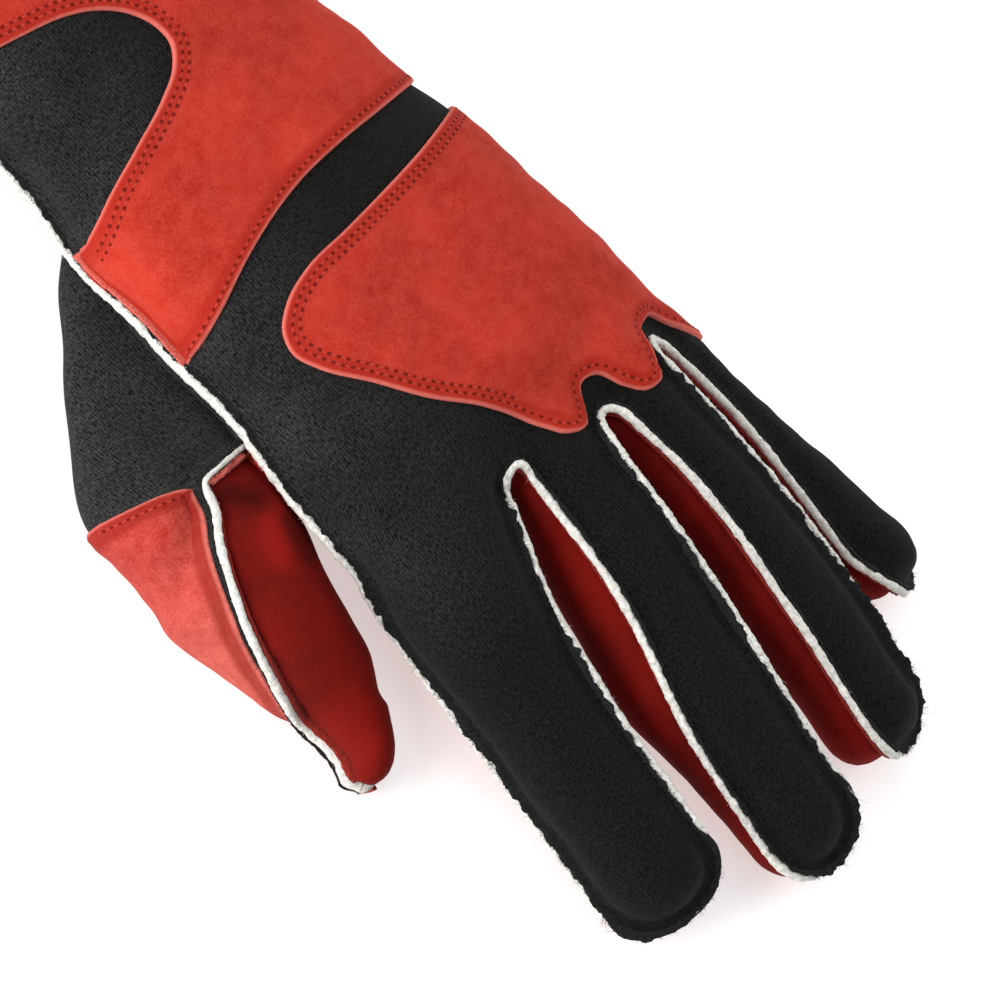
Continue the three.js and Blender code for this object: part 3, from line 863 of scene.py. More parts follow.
def noise_of(tree, coordinates, size, detail=3.0, roughness=0.6):
    """Noise with grains of a real size in metres."""
    settings = {"Vector": coordinates, "Scale": 1 / size, "Detail": detail, "Roughness": roughness}
    return add_node(tree, "ShaderNodeTexNoise", settings).outputs["Fac"]


def between(tree, amount, low, high, from_low, from_high):
    """A number moved from one range to another."""
    return add_node(tree, "ShaderNodeMapRange", {
        "Value": amount, "From Min": from_low, "From Max": from_high, "To Min": low, "To Max": high,
    }).outputs["Result"]


def maths(tree, operation, first, second=0.0, third=0.0):
    """One sum on numbers or sockets."""
    return add_node(
        tree, "ShaderNodeMath", {0: first, 1: second, 2: third}, operation=operation
    ).outputs[0]


def blended(tree, amount, first, second):
    """A mix of two colours."""
    mix = add_node(tree, "ShaderNodeMix", data_type="RGBA")
    for key, value in ((0, amount), (6, first), (7, second)):
        if isinstance(value, bpy.types.NodeSocket):
            tree.links.new(value, mix.inputs[key])
        else:
            mix.inputs[key].default_value = value
    return mix.outputs[2]


def black_knit(colour, lit_colour, pitch):
    """Fine-rib cotton knit, dyed black and brushed: short grey strokes over near-black furrows."""
    material, tree, shader = new_material("black_rib_knit")
    uv = add_node(tree, "ShaderNodeUVMap", uv_map="weave").outputs["UV"]
    place = add_node(tree, "ShaderNodeTexCoord").outputs["Object"]
    flat = add_node(tree, "ShaderNodeSeparateXYZ", {"Vector": uv})
    wobble = noise_of(tree, place, 0.0024)
    sway = maths(tree, "MULTIPLY", wobble, 9.0)
    turns = maths(tree, "MULTIPLY_ADD", flat.outputs["X"], 2 * np.pi / pitch, sway)
    rib = maths(tree, "SINE", turns)
    arch = maths(tree, "MULTIPLY", rib, 1.2)
    rows = maths(tree, "MULTIPLY_ADD", flat.outputs["Y"], 2 * np.pi / (pitch * 1.3), arch)
    loop = maths(tree, "SINE", rows)
    # Wales broken into strokes: noise three times as long along the rib as across it
    scale = (1 / (pitch * 0.6), 1 / (pitch * 1.7), 1)
    stretched = add_node(tree, "ShaderNodeMapping", {"Vector": uv, "Scale": scale}).outputs[0]
    stroke = noise_of(tree, stretched, 1.0, 2.0)
    fuzz = noise_of(tree, place, 0.00055, 3.0)
    height = maths(tree, "MULTIPLY_ADD", loop, 0.08, maths(tree, "MULTIPLY", rib, 0.18))
    height = maths(tree, "MULTIPLY_ADD", stroke, 2.4, height)
    height = maths(tree, "MULTIPLY_ADD", fuzz, 2.0, height)
    bump = add_node(tree, "ShaderNodeBump", {"Height": height, "Strength": 0.6, "Distance": 0.00014})
    # Painted light: lighter over the thumb and the thumb's side of the hand, which face the key lamp
    where = add_node(tree, "ShaderNodeSeparateXYZ", {"Vector": place})
    aside = between(tree, where.outputs["X"], 0.0, 1.0, -0.004, 0.030)
    behind = between(tree, where.outputs["Y"], 0.0, 1.0, 0.072, 0.020)
    patchy = between(tree, noise_of(tree, place, 0.018, 2.0), 0.5, 1.2, 0.35, 0.7)
    lit = maths(tree, "MULTIPLY", maths(tree, "MULTIPLY", aside, behind), patchy)
    peak = blended(tree, lit, colour, lit_colour)
    shade = between(tree, height, 0.0, 1.0, 1.6, 3.0)
    tree.links.new(blended(tree, shade, linear("050605"), peak), shader.inputs["Base Color"])
    tree.links.new(bump.outputs["Normal"], shader.inputs["Normal"])
    shader.inputs["Roughness"].default_value = 0.95
    shader.inputs["Specular IOR Level"].default_value = 0.06
    shader.inputs["Sheen Weight"].default_value = 0.04
    shader.inputs["Sheen Roughness"].default_value = 0.5
    return material


def red_suede(name, colour, deep, brushed, edges=False, outer=None, strokes=False):
    """Split cowhide suede, dyed red and brushed: cloudy nap that is lighter where it lies over.

    Edges darkens the sewn margin and wears the cut edge pale. Outer, a range in x and one in y in
    metres, is where painted light makes the face pinker, on the side that faces the key lamp.
    Strokes reads painted highlights and painted shade from the mesh.
    """
    material, tree, shader = new_material(name)
    place = add_node(tree, "ShaderNodeTexCoord").outputs["Object"]
    cloud = noise_of(tree, place, 0.02, 1.5)
    nap = noise_of(tree, place, 0.003, 4.0)
    grain = noise_of(tree, place, 0.0005, 3.0)
    base = blended(tree, between(tree, cloud, 0.0, 1.0, 0.36, 0.64), deep, colour)
    fine = maths(tree, "MULTIPLY_ADD", grain, 0.8, maths(tree, "MULTIPLY", nap, 0.7))
    nap_and_lit_side = between(tree, fine, 0.0, 0.5, 0.55, 0.98)
    if outer is not None:
        # Painted light: the face turns pinker towards the outer side, where it faces the key lamp
        where = add_node(tree, "ShaderNodeSeparateXYZ", {"Vector": place})
        aside = between(tree, where.outputs["X"], 0.0, 1.0, *outer[0])
        onward = between(tree, where.outputs["Y"], 0.0, 0.5, *outer[1])
        nap_and_lit_side = maths(tree, "MULTIPLY_ADD", aside, onward, nap_and_lit_side)
    base = blended(tree, nap_and_lit_side, base, brushed)
    if strokes:
        # Painted highlight where the value is above 0, painted shade where it is below
        painted_light_and_shade = add_node(tree, "ShaderNodeAttribute", attribute_name="painted_light_and_shade").outputs["Fac"]
        base = blended(tree, between(tree, painted_light_and_shade, 0.0, 0.9, 0.0, 1.0), base, linear("b01d16"))
        base = blended(tree, between(tree, painted_light_and_shade, 0.0, 0.75, 0.0, -1.0), base, linear("300403"))
    if edges:
        rim = add_node(tree, "ShaderNodeAttribute", attribute_name="from_edge").outputs["Fac"]
        sewn = between(tree, rim, 0.0, 0.6, SECOND_ROW + 0.9, SECOND_ROW - 0.2)
        base = blended(tree, sewn, base, deep)
        worn = between(tree, rim, 0.8, 0.0, 0.1, 0.7)
        base = blended(tree, worn, base, linear("dc756a"))
    height = maths(tree, "MULTIPLY_ADD", grain, 0.6, nap)
    bump = add_node(tree, "ShaderNodeBump", {"Height": height, "Strength": 0.5, "Distance": 0.0003})
    tree.links.new(base, shader.inputs["Base Color"])
    tree.links.new(bump.outputs["Normal"], shader.inputs["Normal"])
    shader.inputs["Roughness"].default_value = 0.9
    shader.inputs["Specular IOR Level"].default_value = 0.1
    shader.inputs["Sheen Weight"].default_value = 0.04 if strokes else 0.12
    shader.inputs["Sheen Roughness"].default_value = 0.4
    shader.inputs["Sheen Tint"].default_value = linear("ff9c8a")
    return material


def plain_fibre(name, dark, light, grain, sheen):
    """Loose fibre such as a cut edge or lint: two close tones with grain and a soft bump."""
    material, tree, shader = new_material(name)
    place = add_node(tree, "ShaderNodeTexCoord").outputs["Object"]
    fine = noise_of(tree, place, grain, 4.0)
    shade = between(tree, fine, 0.0, 1.0, 0.3, 0.7)
    bump = add_node(tree, "ShaderNodeBump", {"Height": fine, "Strength": 0.6, "Distance": 0.0003})
    tree.links.new(blended(tree, shade, dark, light), shader.inputs["Base Color"])
    tree.links.new(bump.outputs["Normal"], shader.inputs["Normal"])
    shader.inputs["Roughness"].default_value = 0.95
    shader.inputs["Specular IOR Level"].default_value = 0.15
    shader.inputs["Sheen Weight"].default_value = sheen
    return material


MATERIALS = {}


def materials():
    """The glove's materials, made once."""
    if not MATERIALS:
        colours = bpy.context.scene.glove_colours
        sizes = bpy.context.scene.glove_sizes
        MATERIALS["knit"] = black_knit(
            list(colours.knit) + [1.0], list(colours.lit_knit) + [1.0], sizes.rib_pitch
        )
        face = list(colours.suede) + [1.0]
        MATERIALS["suede"] = red_suede("red_brushed_suede", face, linear("8e1a12"), linear("c8483a"))
        MATERIALS["patch"] = red_suede(
            "red_brushed_suede_patch", face, linear("9a2014"), linear("cb4e3f"), edges=True
        )
        # The thumb's cap, with painted light: pinker on its outer side, which faces the key lamp
        MATERIALS["cap"] = red_suede(
            "red_suede_cap_painted_light", linear("a02820"), linear("86190f"), linear("cf6257"),
            edges=True, outer=((0.050, 0.060), (0.014, 0.040)),
        )
        # The same hide, painted darker as shade between the fingers and on the thumb's front, where
        # those faces turn away from the lamps
        MATERIALS["deep_suede"] = red_suede(
            "red_suede_painted_shade", list(colours.deep_suede) + [1.0], linear("5c0d09"), linear("841a13"),
            strokes=True,
        )
        # Cut edge of the suede: undyed core shows pinker than the face
        MATERIALS["cut"] = plain_fibre(
            "suede_cut_edge", linear("b0352a"), linear("dc7a6d"), 0.0004, 0.1
        )
        # Brushed cotton lining: off-white nap with grey hollows
        MATERIALS["lining"] = plain_fibre(
            "brushed_cotton_lining", linear("bdbbb4"), list(colours.lining) + [1.0], 0.0009, 0.1
        )
        # Raw edge of the knit: loose black yarn ends
        MATERIALS["knit_edge"] = plain_fibre(
            "black_knit_raw_edge", linear("080908"), linear("2b2c2c"), 0.0004, 0.03
        )
        # Raw edge of the suede in a seam, a little darker than its face
        MATERIALS["suede_edge"] = plain_fibre(
            "suede_raw_edge", linear("6a140f"), linear("9c342a"), 0.0005, 0.05
        )
        # Red polyester sewing thread, dull from the nap round it
        MATERIALS["thread"] = plain_fibre(
            "red_sewing_thread", linear("ac3426"), linear("bf4838"), 0.0003, 0.1
        )
        # Needle hole in suede: painted shade, a dark red disc laid where the hole would be in shadow
        MATERIALS["hole"] = plain_fibre(
            "needle_hole_shade", linear("5c100b"), linear("801c14"), 0.0003, 0.0
        )
    return MATERIALS


# Pieces


def hand_panels():
    """The five panels of the hand and fingers."""
    made = shape()
    kit = materials()
    skin = made["hand_skin"]
    parts = split_skin(skin, label_hand(skin, made["main"]))
    for name, bm in zip(PANELS + (THUMB_STRIP,), parts):
        bmesh.ops.bisect_plane(
            bm, geom=bm.verts[:] + bm.edges[:] + bm.faces[:], dist=1e-5,
            plane_co=(0, HEM_Y, 0), plane_no=(0, -1, 0), clear_outer=True,
        )
        bmesh.ops.delete(bm, geom=[v for v in bm.verts if not v.link_faces], context="VERTS")
        mesh = to_mesh(bm, name)
        points = read_points(mesh)
        knit = name in ("back_panel", THUMB_STRIP)
        flare = FLARE + TIP_FLARE * tips_covered(made["main"]) if knit else None
        write_points(mesh, cloth_relief(points, read_normals(mesh), made["main"], 0.26, flare, 7))
        if knit:
            weave_map(mesh, points, (HAND,) + FINGERS)
        if name == "back_panel":
            made["back_mesh"] = mesh.copy()
        outer = kit["knit"] if knit else kit["suede"] if name == "palm_panel" else kit["deep_suede"]
        nodes = [name] if name in PANELS else []
        piece = finish_piece(name + "_cloth", mesh, [outer, kit["lining"]], nodes)
        thicken(piece, WALLS["panel" if name in PANELS[:2] else "slot"])


def thumb_panels():
    """The knit back and the red front of the thumb."""
    made = shape()
    kit = materials()
    skin = made["thumb_skin"]
    parts = split_skin(skin, label_thumb(skin))
    for name, bm in zip(("thumb_back", "thumb_front"), parts):
        places = np.array([v.co for v in bm.verts])
        depth, _ = HAND.polar(places)
        # Faces well inside the hand are left out
        inner = {v for v, d in zip(bm.verts, depth) if d < -2.5}
        buried = [f for f in bm.faces if all(v in inner for v in f.verts)]
        bmesh.ops.delete(bm, geom=buried, context="FACES")
        mesh = to_mesh(bm, name)
        points = read_points(mesh)
        knit = name == "thumb_back"
        flare = np.full(len(made["thumb"].points), FLARE) if knit else None
        write_points(mesh, cloth_relief(points, read_normals(mesh), made["thumb"], 0.3, flare, 11))
        if knit:
            weave_map(mesh, points, (THUMB,))
            made["thumb_back_mesh"] = mesh.copy()
        else:
            paint_light_strokes(mesh, points)
        outer = kit["knit"] if knit else kit["deep_suede"]
        piece = finish_piece(name + "_cloth", mesh, [outer, kit["lining"]], [name])
        thicken(piece, WALLS["thumb"])


def paint_light_strokes(mesh, points):
    """Marks painted light on the thumb's front: a painted highlight above 0, painted shade below it."""
    seen = np.column_stack([points[:, 1], points @ SIDEWAYS])
    value = np.zeros(len(points))
    for start, end, width, amount in PAINTED_LIGHT_STROKES:
        start, way = np.array(start), np.array(end) - np.array(start)
        share = np.clip((seen - start) @ way / (way @ way), 0, 1)
        away = np.linalg.norm(seen - start - way * share[:, None], axis=1)
        value += amount * np.exp(-((away / width) ** 2))
    layer = mesh.attributes.new("painted_light_and_shade", "FLOAT", "POINT")
    layer.data.foreach_set("value", value)


def wander(count, reach, seed):
    """Smooth random values along a seam, from about -1 to 1; reach is in mm."""
    smooth = np.random.default_rng(seed).normal(size=count)
    for part in (2, 3):
        smooth = averaged(smooth, max(int(reach / SEAM_STEP / part), 1))
    return smooth / max(np.std(smooth), 1e-6) * 0.6


def raw_edge(name, seam, low, high, foot, crest, ragged, seed, material, nodes, keep=None):
    """A cloth layer's raw edge that stands in a seam, from low to high towards the knit.

    Low, high and crest are numbers, or arrays with a value for each step of the seam. Keep marks
    the steps that it runs along.
    """
    keep = np.ones(len(seam.points), bool) if keep is None else keep
    points, out, side = seam.points[keep], seam.out[keep], seam.side[keep]
    low, high, crest = (np.broadcast_to(value, keep.shape)[keep] for value in (low, high, crest))
    count = len(points)
    rng = np.random.default_rng(seed)
    # Long waves and short ones in its lean, its height and its width
    lean = 0.1 * wander(count, 9, seed + 1)
    rough = 0.16 * wander(count, 6, seed + 2) + 0.32 * wander(count, 0.9, seed + 3)
    tall = crest + ragged * rough
    wide = 1 + 0.07 * wander(count, 5, seed + 4) + 0.12 * wander(count, 0.9, seed + 6)
    # Across the edge from foot to foot over the crest: share of width, share of height
    outline = np.array([
        (0, 0), (0, 0.5), (0.02, 0.86), (0.14, 0.98), (0.5, 1.0), (0.86, 0.98), (0.98, 0.86),
        (1, 0.5), (1, 0), (0.5, -0.05),
    ])

    def shape_of(turn, share):
        """Points for the rolled grid, with frayed unevenness."""
        ring = np.clip(np.rint(share * (count - 1)).astype(int), 0, count - 1)
        corner = np.rint(turn * len(outline)).astype(int) % len(outline)
        span = high[ring] - low[ring]
        across = low[ring] + span * (0.5 + (outline[corner, 0] - 0.5) * wide[ring])
        height = foot + (tall[ring] - foot) * outline[corner, 1]
        loose = np.clip((height - foot) / (crest[ring] - foot), 0, 1)
        across = across + lean[ring] * loose
        jitter = rng.normal(scale=0.09 * ragged, size=(count, len(outline), 3))
        placed = points[ring] + side[ring] * across[:, None] + out[ring] * height[:, None]
        placed = placed + jitter[ring, corner] * loose[:, None]
        placed[:, 2] = np.maximum(placed[:, 2], 0.1)
        return placed

    bm = rolled_grid(len(outline), count - 1, shape_of)
    return finish_piece(name, to_mesh(bm, name), [material], nodes)


def repeated(template, count, shape_of):
    """A small mesh repeated many times as one mesh; shape_of places all the copies' points."""
    points = read_points(template)
    mesh = bpy.data.meshes.new(template.name)
    placed = shape_of(np.tile(points, (count, 1)), np.repeat(np.arange(count), len(points)))
    faces = [tuple(f.vertices) for f in template.polygons]
    starts = range(0, count * len(points), len(points))
    mesh.from_pydata(placed, [], [tuple(v + start for v in f) for start in starts for f in faces])
    return mesh


def fibre_template():
    """A thin three-sided hair one unit long."""
    bm = bmesh.new()
    bmesh.ops.create_cone(
        bm, segments=3, radius1=1, radius2=0.35, depth=1, cap_ends=False, cap_tris=False
    )
    bmesh.ops.translate(bm, verts=bm.verts, vec=(0, 0, 0.5))
    return to_mesh(bm, "hair")


def fibres(name, seam, density, low, high, base, length, thickness, seed, material, keep=None):
    """Loose hairs along a raw edge, a number to each mm, half of them in clumps."""
    rng = np.random.default_rng(seed)
    usable = np.arange(len(seam.points)) if keep is None else np.flatnonzero(keep)
    count = int(len(usable) * SEAM_STEP * density)
    clumps = rng.choice(usable, size=count // 3)
    ring = np.where(rng.random(count) < 0.5, rng.choice(usable, count), rng.choice(clumps, count))
    across = rng.uniform(low, high, count)
    height = base * rng.uniform(0.5, 1.0, count)
    start = seam.points[ring] + seam.side[ring] * across[:, None]
    start += seam.out[ring] * height[:, None]
    start += seam.along[ring] * rng.uniform(-0.5, 0.5, count)[:, None] * SEAM_STEP
    way = unit(
        seam.out[ring] * rng.uniform(0.3, 1.2, count)[:, None]
        + seam.side[ring] * rng.normal(0, 0.7, count)[:, None]
        + seam.along[ring] * rng.normal(0, 0.7, count)[:, None]
    )
    long = length * rng.gamma(3.0, 0.33, count)
    first = unit(np.cross(way, rng.normal(size=(count, 3))))
    second = np.cross(way, first)

    def shape_of(points, copy):
        """Each hair grows from its place along its own way."""
        body = start[copy] + way[copy] * points[:, 2:3] * long[copy, None]
        placed = body + (first[copy] * points[:, :1] + second[copy] * points[:, 1:2]) * thickness
        placed[:, 2] = np.maximum(placed[:, 2], 0.1)
        return placed

    mesh = repeated(fibre_template(), count, shape_of)
    return finish_piece(name, mesh, [material], [])


def patch_piece(name, source, outline, holes, caught, margin, finish, seed):
    """A suede patch cut from the cloth under it by an outline and holes seen from above.

    Caught is a search tree over the seam steps at its sides. They hold it, or it keeps clear of
    them by the margin where one is given.
    """
    kit = materials()
    cloth = tree_of(source)
    bm = bmesh.new()
    bm.from_mesh(source)
    bm.verts.layers.float.new("from_edge")
    foot = bm.verts.layers.float_vector.new("foot")
    from_edge = bm.verts.layers.float["from_edge"]  # read last, because a new layer moves others
    centres = np.array([f.calc_center_median() for f in bm.faces])
    keep = inside_outline(centres, outline)
    for hole in holes:
        keep &= ~inside_outline(centres, hole)
    keep &= distances(caught, centres) > margin
    bm.normal_update()
    bmesh.ops.delete(bm, geom=[f for f, k in zip(bm.faces, keep) if not k], context="FACES")
    # Faces that hang on by one edge or none are taken off
    for _ in range(4):
        lone = [f for f in bm.faces if sum(e.is_boundary for e in f.edges) > len(f.edges) - 2]
        bmesh.ops.delete(bm, geom=lone, context="FACES")
    # The rim is drawn onto the outline, at the height of the cloth there
    steps = np.concatenate([outline] + holes)
    flat = point_tree(np.column_stack([steps, np.zeros(len(steps))]))
    rim = [v for v in bm.verts if v.is_boundary]
    for vert in rim:
        _, at, away = flat.find((vert.co.x, vert.co.y, 0))
        if away < 1.6:
            x, y = steps[at]
            side = -1 if vert.normal.z < 0 else 1
            met = cloth.ray_cast(Vector((x, y, ABOVE * side)), Vector((0, 0, -side)))[0]
            if met is None or abs(met.z - vert.co.z) > 3:
                met = cloth.find_nearest(Vector((x, y, vert.co.z)))[0]
            vert.co = met
    if margin > 0:
        beside = {v: [e.other_vert(v) for e in v.link_edges if e.is_boundary] for v in rim}
        even_lines(beside, 10)
        for vert in rim:
            place, _, away = caught.find(vert.co)
            if away < margin + 1.2:
                vert.co = place + (vert.co - place) * (margin / away)
    smooth_out(bm, [v for v in bm.verts if not v.is_boundary], 1)
    bmesh.ops.subdivide_edges(bm, edges=bm.edges[:], cuts=1, use_grid_fill=True)
    smooth_out(bm, [v for v in bm.verts if not v.is_boundary], 12 if margin > 0 else 1)
    bm.normal_update()
    points = np.array([v.co for v in bm.verts])
    normals = np.array([v.normal for v in bm.verts])
    edge = np.array([flat.find((p[0], p[1], 0))[2] for p in points])
    sewn = distances(caught, points)
    edge = np.minimum(edge, np.maximum(sewn - max(margin, 0.4), 0))
    # Soft unevenness, a rounded rim, and a shallow groove where the stitches pull it down
    puff = 0.12 * soft_noise(points, 7, seed) * np.clip(edge / 4, 0, 1)
    rise = PATCH_HEIGHT - 0.4 * np.exp(-((edge / 0.45) ** 2)) + puff
    rise -= 0.1 * np.exp(-(((edge - STITCH_ROW) / 0.6) ** 2))
    if margin > 0:
        rise -= 0.35 * np.clip(1 - (sewn - margin) / 1.5, 0, 1)
    else:
        # Where a seam holds it, it sinks into the seam
        into = np.clip((sewn - GROOVE) / 1.3, 0, 1)
        rise = 0.1 + (rise - 0.1) * into * into * (3 - 2 * into)
    placed = points + normals * rise[:, None]
    placed[:, 2] = np.maximum(placed[:, 2], 0.1)
    feet = points - normals * 0.4  # just inside the cloth
    feet[:, 2] = np.maximum(feet[:, 2], 0.1)
    for vert, place, value, low in zip(bm.verts, placed, edge, feet):
        vert.co = place
        vert[from_edge] = value
        vert[foot] = low
    made = bmesh.ops.extrude_edge_only(bm, edges=[e for e in bm.edges if e.is_boundary])
    for item in made["geom"]:
        if isinstance(item, bmesh.types.BMVert):
            item.co = item[foot]
        elif isinstance(item, bmesh.types.BMFace):
            item.material_index = 1
    bm.verts.layers.float_vector.remove(foot)
    mesh = to_mesh(bm, name)
    return finish_piece(name + "_suede", mesh, [kit[finish], kit["cut"]], [name])


def moved_left(curve, distance):
    """A flat curve moved to its left by a distance, or to its right by one below 0."""
    along = unit(np.gradient(curve, axis=0))
    return curve + np.column_stack([-along[:, 1], along[:, 0]]) * distance


def stitch_rows(name, curves, piece, caught, margin):
    """Rows of needle holes with thread between them, laid on a patch along flat curves.

    They keep clear of the seam steps in caught by a margin.
    """
    kit = materials()
    pitch = bpy.context.scene.glove_sizes.stitch_pitch / MM
    fine = 0.25  # between the points at which a row is laid on the patch, in mm
    tree = tree_of(piece.data, in_frame=True)
    holes, ways, ups = [], [], []
    for curve in curves:
        chain = []
        for x, y in resample(curve, fine):
            place, normal = tree.ray_cast(Vector((x, y, ABOVE)), Vector((0, 0, -1)))[:2]
            if place is not None and normal.z > 0.25:
                chain.append((place, normal))
            elif len(chain) > 8:
                break
            else:
                chain = []
        if len(chain) < 3 * pitch / fine:
            continue
        places = np.array([p for p, _ in chain])
        normals = np.array([n for _, n in chain])
        run = np.r_[0, np.cumsum(np.linalg.norm(np.diff(places, axis=0), axis=1))]
        at = np.arange(pitch / 2, run[-1], pitch)
        spots = np.stack([np.interp(at, run, c) for c in places.T], 1)
        up = unit(np.stack([np.interp(at, run, c) for c in normals.T], 1))
        way = unit(np.gradient(spots, axis=0))
        clear = distances(caught, spots) > margin
        holes.append(spots[clear])
        ways.append(way[clear])
        ups.append(up[clear])
    spots, way, up = (np.concatenate(values) for values in (holes, ways, ups))
    across = unit(np.cross(up, way))
    up = np.cross(way, across)
    rng = np.random.default_rng(5)
    size = rng.uniform(0.27, 0.4, len(spots))

    def pit(points, copy):
        """A flat oval just over the suede, painted dark as the shade in a needle hole."""
        return (
            spots[copy] + way[copy] * points[:, :1] * size[copy, None] * 1.25
            + across[copy] * points[:, 1:2] * size[copy, None] + up[copy] * 0.05
        )

    def thread(points, copy):
        """A short sunk length of thread between two holes."""
        lift = 0.03 * points[:, 2:3]
        return (
            spots[copy] + way[copy] * (points[:, :1] * pitch * 0.34 + pitch / 2)
            + across[copy] * points[:, 1:2] * 0.16 + up[copy] * lift
        )

    disc = bmesh.new()
    bmesh.ops.create_circle(disc, cap_ends=True, segments=8, radius=1)
    ball = bmesh.new()
    bmesh.ops.create_uvsphere(ball, u_segments=6, v_segments=5, radius=1)
    hole_shade_discs = repeated(to_mesh(disc, "hole"), len(spots), pit)
    threads = repeated(to_mesh(ball, "stitch"), len(spots), thread)
    finish_piece(name + "_hole_shades", hole_shade_discs, [kit["hole"]], [])
    finish_piece(name + "_thread", threads, [kit["thread"]], [])


def within(seam, outline, holes=()):
    """Which steps of a seam pass under a patch."""
    keep = inside_outline(seam.points, outline)
    for hole in holes:
        keep &= ~inside_outline(seam.points, hole)
    return keep


def runs_of(keep):
    """Unbroken runs of kept steps, as masks."""
    marks = np.flatnonzero(np.diff(np.r_[0, keep.astype(int), 0]))
    runs = []
    for start, end in marks.reshape(-1, 2):
        if end - start > 10:
            mask = np.zeros(len(keep), bool)
            mask[start:end] = True
            runs.append(mask)
    return runs


def patches():
    """The knuckle patch, the wrist patch and the thumb's cap, with their stitches."""
    made = shape()
    kit = materials()
    main, back = made["main"], made["back_mesh"]
    knuckle = smooth_curve(KNUCKLE_PATCH, 0.4)
    wrist = smooth_curve(WRIST_PATCH_EDGE, 0.4)
    window = smooth_curve(WRIST_WINDOW, 0.4)
    gauntlet = np.concatenate([wrist, [[60, HEM_Y - 5], [-60, HEM_Y - 5]]])
    masks = [within(main, knuckle), within(main, gauntlet, [window])]
    at_knuckle, at_wrist = (point_tree(main.points[mask]) for mask in masks)
    piece = patch_piece("knuckle_patch", back, knuckle, [], at_knuckle, 0, "patch", 21)
    twice = knuckle[: int(len(knuckle) * TWICE_SEWN)]
    rows = [moved_left(knuckle, STITCH_ROW), moved_left(twice, SECOND_ROW)]
    stitch_rows("knuckle_patch", rows, piece, at_knuckle, PATCH_CLEAR)
    piece = patch_piece("wrist_patch", back, gauntlet, [window], at_wrist, 0, "patch", 22)
    rows = [
        moved_left(wrist, -STITCH_ROW),
        moved_left(window, -STITCH_ROW),
        moved_left(window, -SECOND_ROW),
    ]
    stitch_rows("wrist_patch", rows, piece, at_wrist, PATCH_CLEAR)
    cap = np.array(THUMB_CAP, float)
    cap = np.concatenate([smooth_curve(cap[:4], 0.4), resample(cap[3:], 0.4)])
    at_thumb = point_tree(made["thumb"].points)
    thumb_back = made["thumb_back_mesh"]
    piece = patch_piece("thumb_cap", thumb_back, cap, [], at_thumb, CAP_MARGIN, "cap", 23)
    row = moved_left(smooth_curve(THUMB_CAP[:4], 0.4), STITCH_ROW)
    stitch_rows("thumb_cap", [row], piece, at_thumb, CAP_CLEAR)
    made["covered"] = np.zeros(len(main.points), bool)
    for i, mask in enumerate(runs_of(masks[0]) + runs_of(masks[1])):
        made["covered"] |= mask
        raw_edge(
            f"patch_seam_edge_{i}", main, GROOVE - 0.8, GROOVE - 0.3, -0.9, 1.5, 0.3, 300 + i,
            kit["cut"], [], mask,
        )


def tips_covered(seam):
    """From 0 to 1, where the knit's raw edge hides the lining's at the fingertips."""
    hidden = np.zeros(len(seam.points))
    for limb, (past, back) in zip(FINGERS, TIP_COVER):
        x, y = limb.tip[1], limb.end
        near = (np.abs(seam.points[:, 0] - x) < 12) & (seam.points[:, 1] > y - back)
        hidden[near & (seam.points[:, 0] < x + past)] = 1
    return averaged(hidden, 7)


def raw_edges():
    """The raw edges of lining, knit and suede in the outside seams, with their loose hairs."""
    made = shape()
    kit = materials()
    sizes = bpy.context.scene.glove_sizes
    stand = sizes.lining_stand / MM
    half = sizes.lining_thickness / MM / 2
    for word, seam, seed in (("main", made["main"], 40), ("thumb", made["thumb"], 60)):
        steps = len(seam.points)
        main = word == "main"
        covered = averaged(made["covered"].astype(float), 5) if main else np.zeros(steps)
        hidden = tips_covered(seam) if main else np.zeros(steps)
        knit_crest = stand - 0.7 + hidden * TIP_FLARE
        y = seam.points[:, 1]
        thumb_side = main & (seam.points[:, 0] > 20)
        full = half * (1 + 0.4 * thumb_side * np.exp(-(((y + 50) / 16) ** 2)))
        ending = np.ones(steps)
        if not main:
            # The thumb's edges dwindle over their last 2.5 mm, and its knit stands taller
            # towards the tip
            ending = np.clip(np.arange(steps)[::-1] * SEAM_STEP / 2.5, 0.3, 1)
            full = full * ending * (1 - 0.4 * np.clip(WEB_Y + 2.0 - y, 0, 1))
            knit_crest = (knit_crest + 1.05 * np.clip((y - 4) / 3, 0, 1)) * (0.3 + 0.7 * ending)
        raw_edge(
            f"lining_edge_{word}_cloth", seam, -full, full, EDGE_FOOT,
            stand * (0.4 + 0.6 * ending), 0.5, seed,
            kit["lining"], [f"lining_edge_{word}"],
        )
        raw_edge(
            f"knit_edge_{word}", seam, full - 0.05, full + 0.5 - 0.25 * covered, EDGE_FOOT,
            knit_crest, 1.2 if main else 0.5, seed + 5, kit["knit_edge"], [],
        )
        # No suede beside the strip of knit
        bare = thumb_side & (y > THUMB_STRIP_REACH[0]) & (y < THUMB_STRIP_REACH[1])
        for i, keep in enumerate(runs_of(~bare & (ending > 0.6))):
            raw_edge(
                f"suede_edge_{word}_{i}", seam, -half * ending - 0.6, -half * ending + 0.05,
                EDGE_FOOT, (stand - 1.1) * ending, 0.4,
                seed + 9 + i, kit["suede_edge"], [], keep,
            )
        fibres(
            f"lining_hairs_{word}", seam, 12, -half, half, stand, 0.24, 0.035, seed + 12,
            kit["lining"],
        )
        fibres(
            f"knit_hairs_{word}", seam, 10, half - 0.3, half + 0.6, stand - 0.5, 0.5, 0.04, seed + 14,
            kit["knit_edge"],
        )
        if main:
            # Longer black hairs round the fingertips
            fibres(
                "knit_fray_main", seam, 12, half - 0.3, half + 0.6, stand + 0.2, 0.8, 0.045,
                seed + 16, kit["knit_edge"], hidden > 0.5,
            )
        else:
            # The suede's cut edge across the web
            raw_edge(
                "web_edge", seam, -half - 1.1, -half + 0.1, EDGE_FOOT, stand - 0.9, 1.3, seed + 20,
                kit["cut"], [], y < WEB_Y + 0.6,
            )


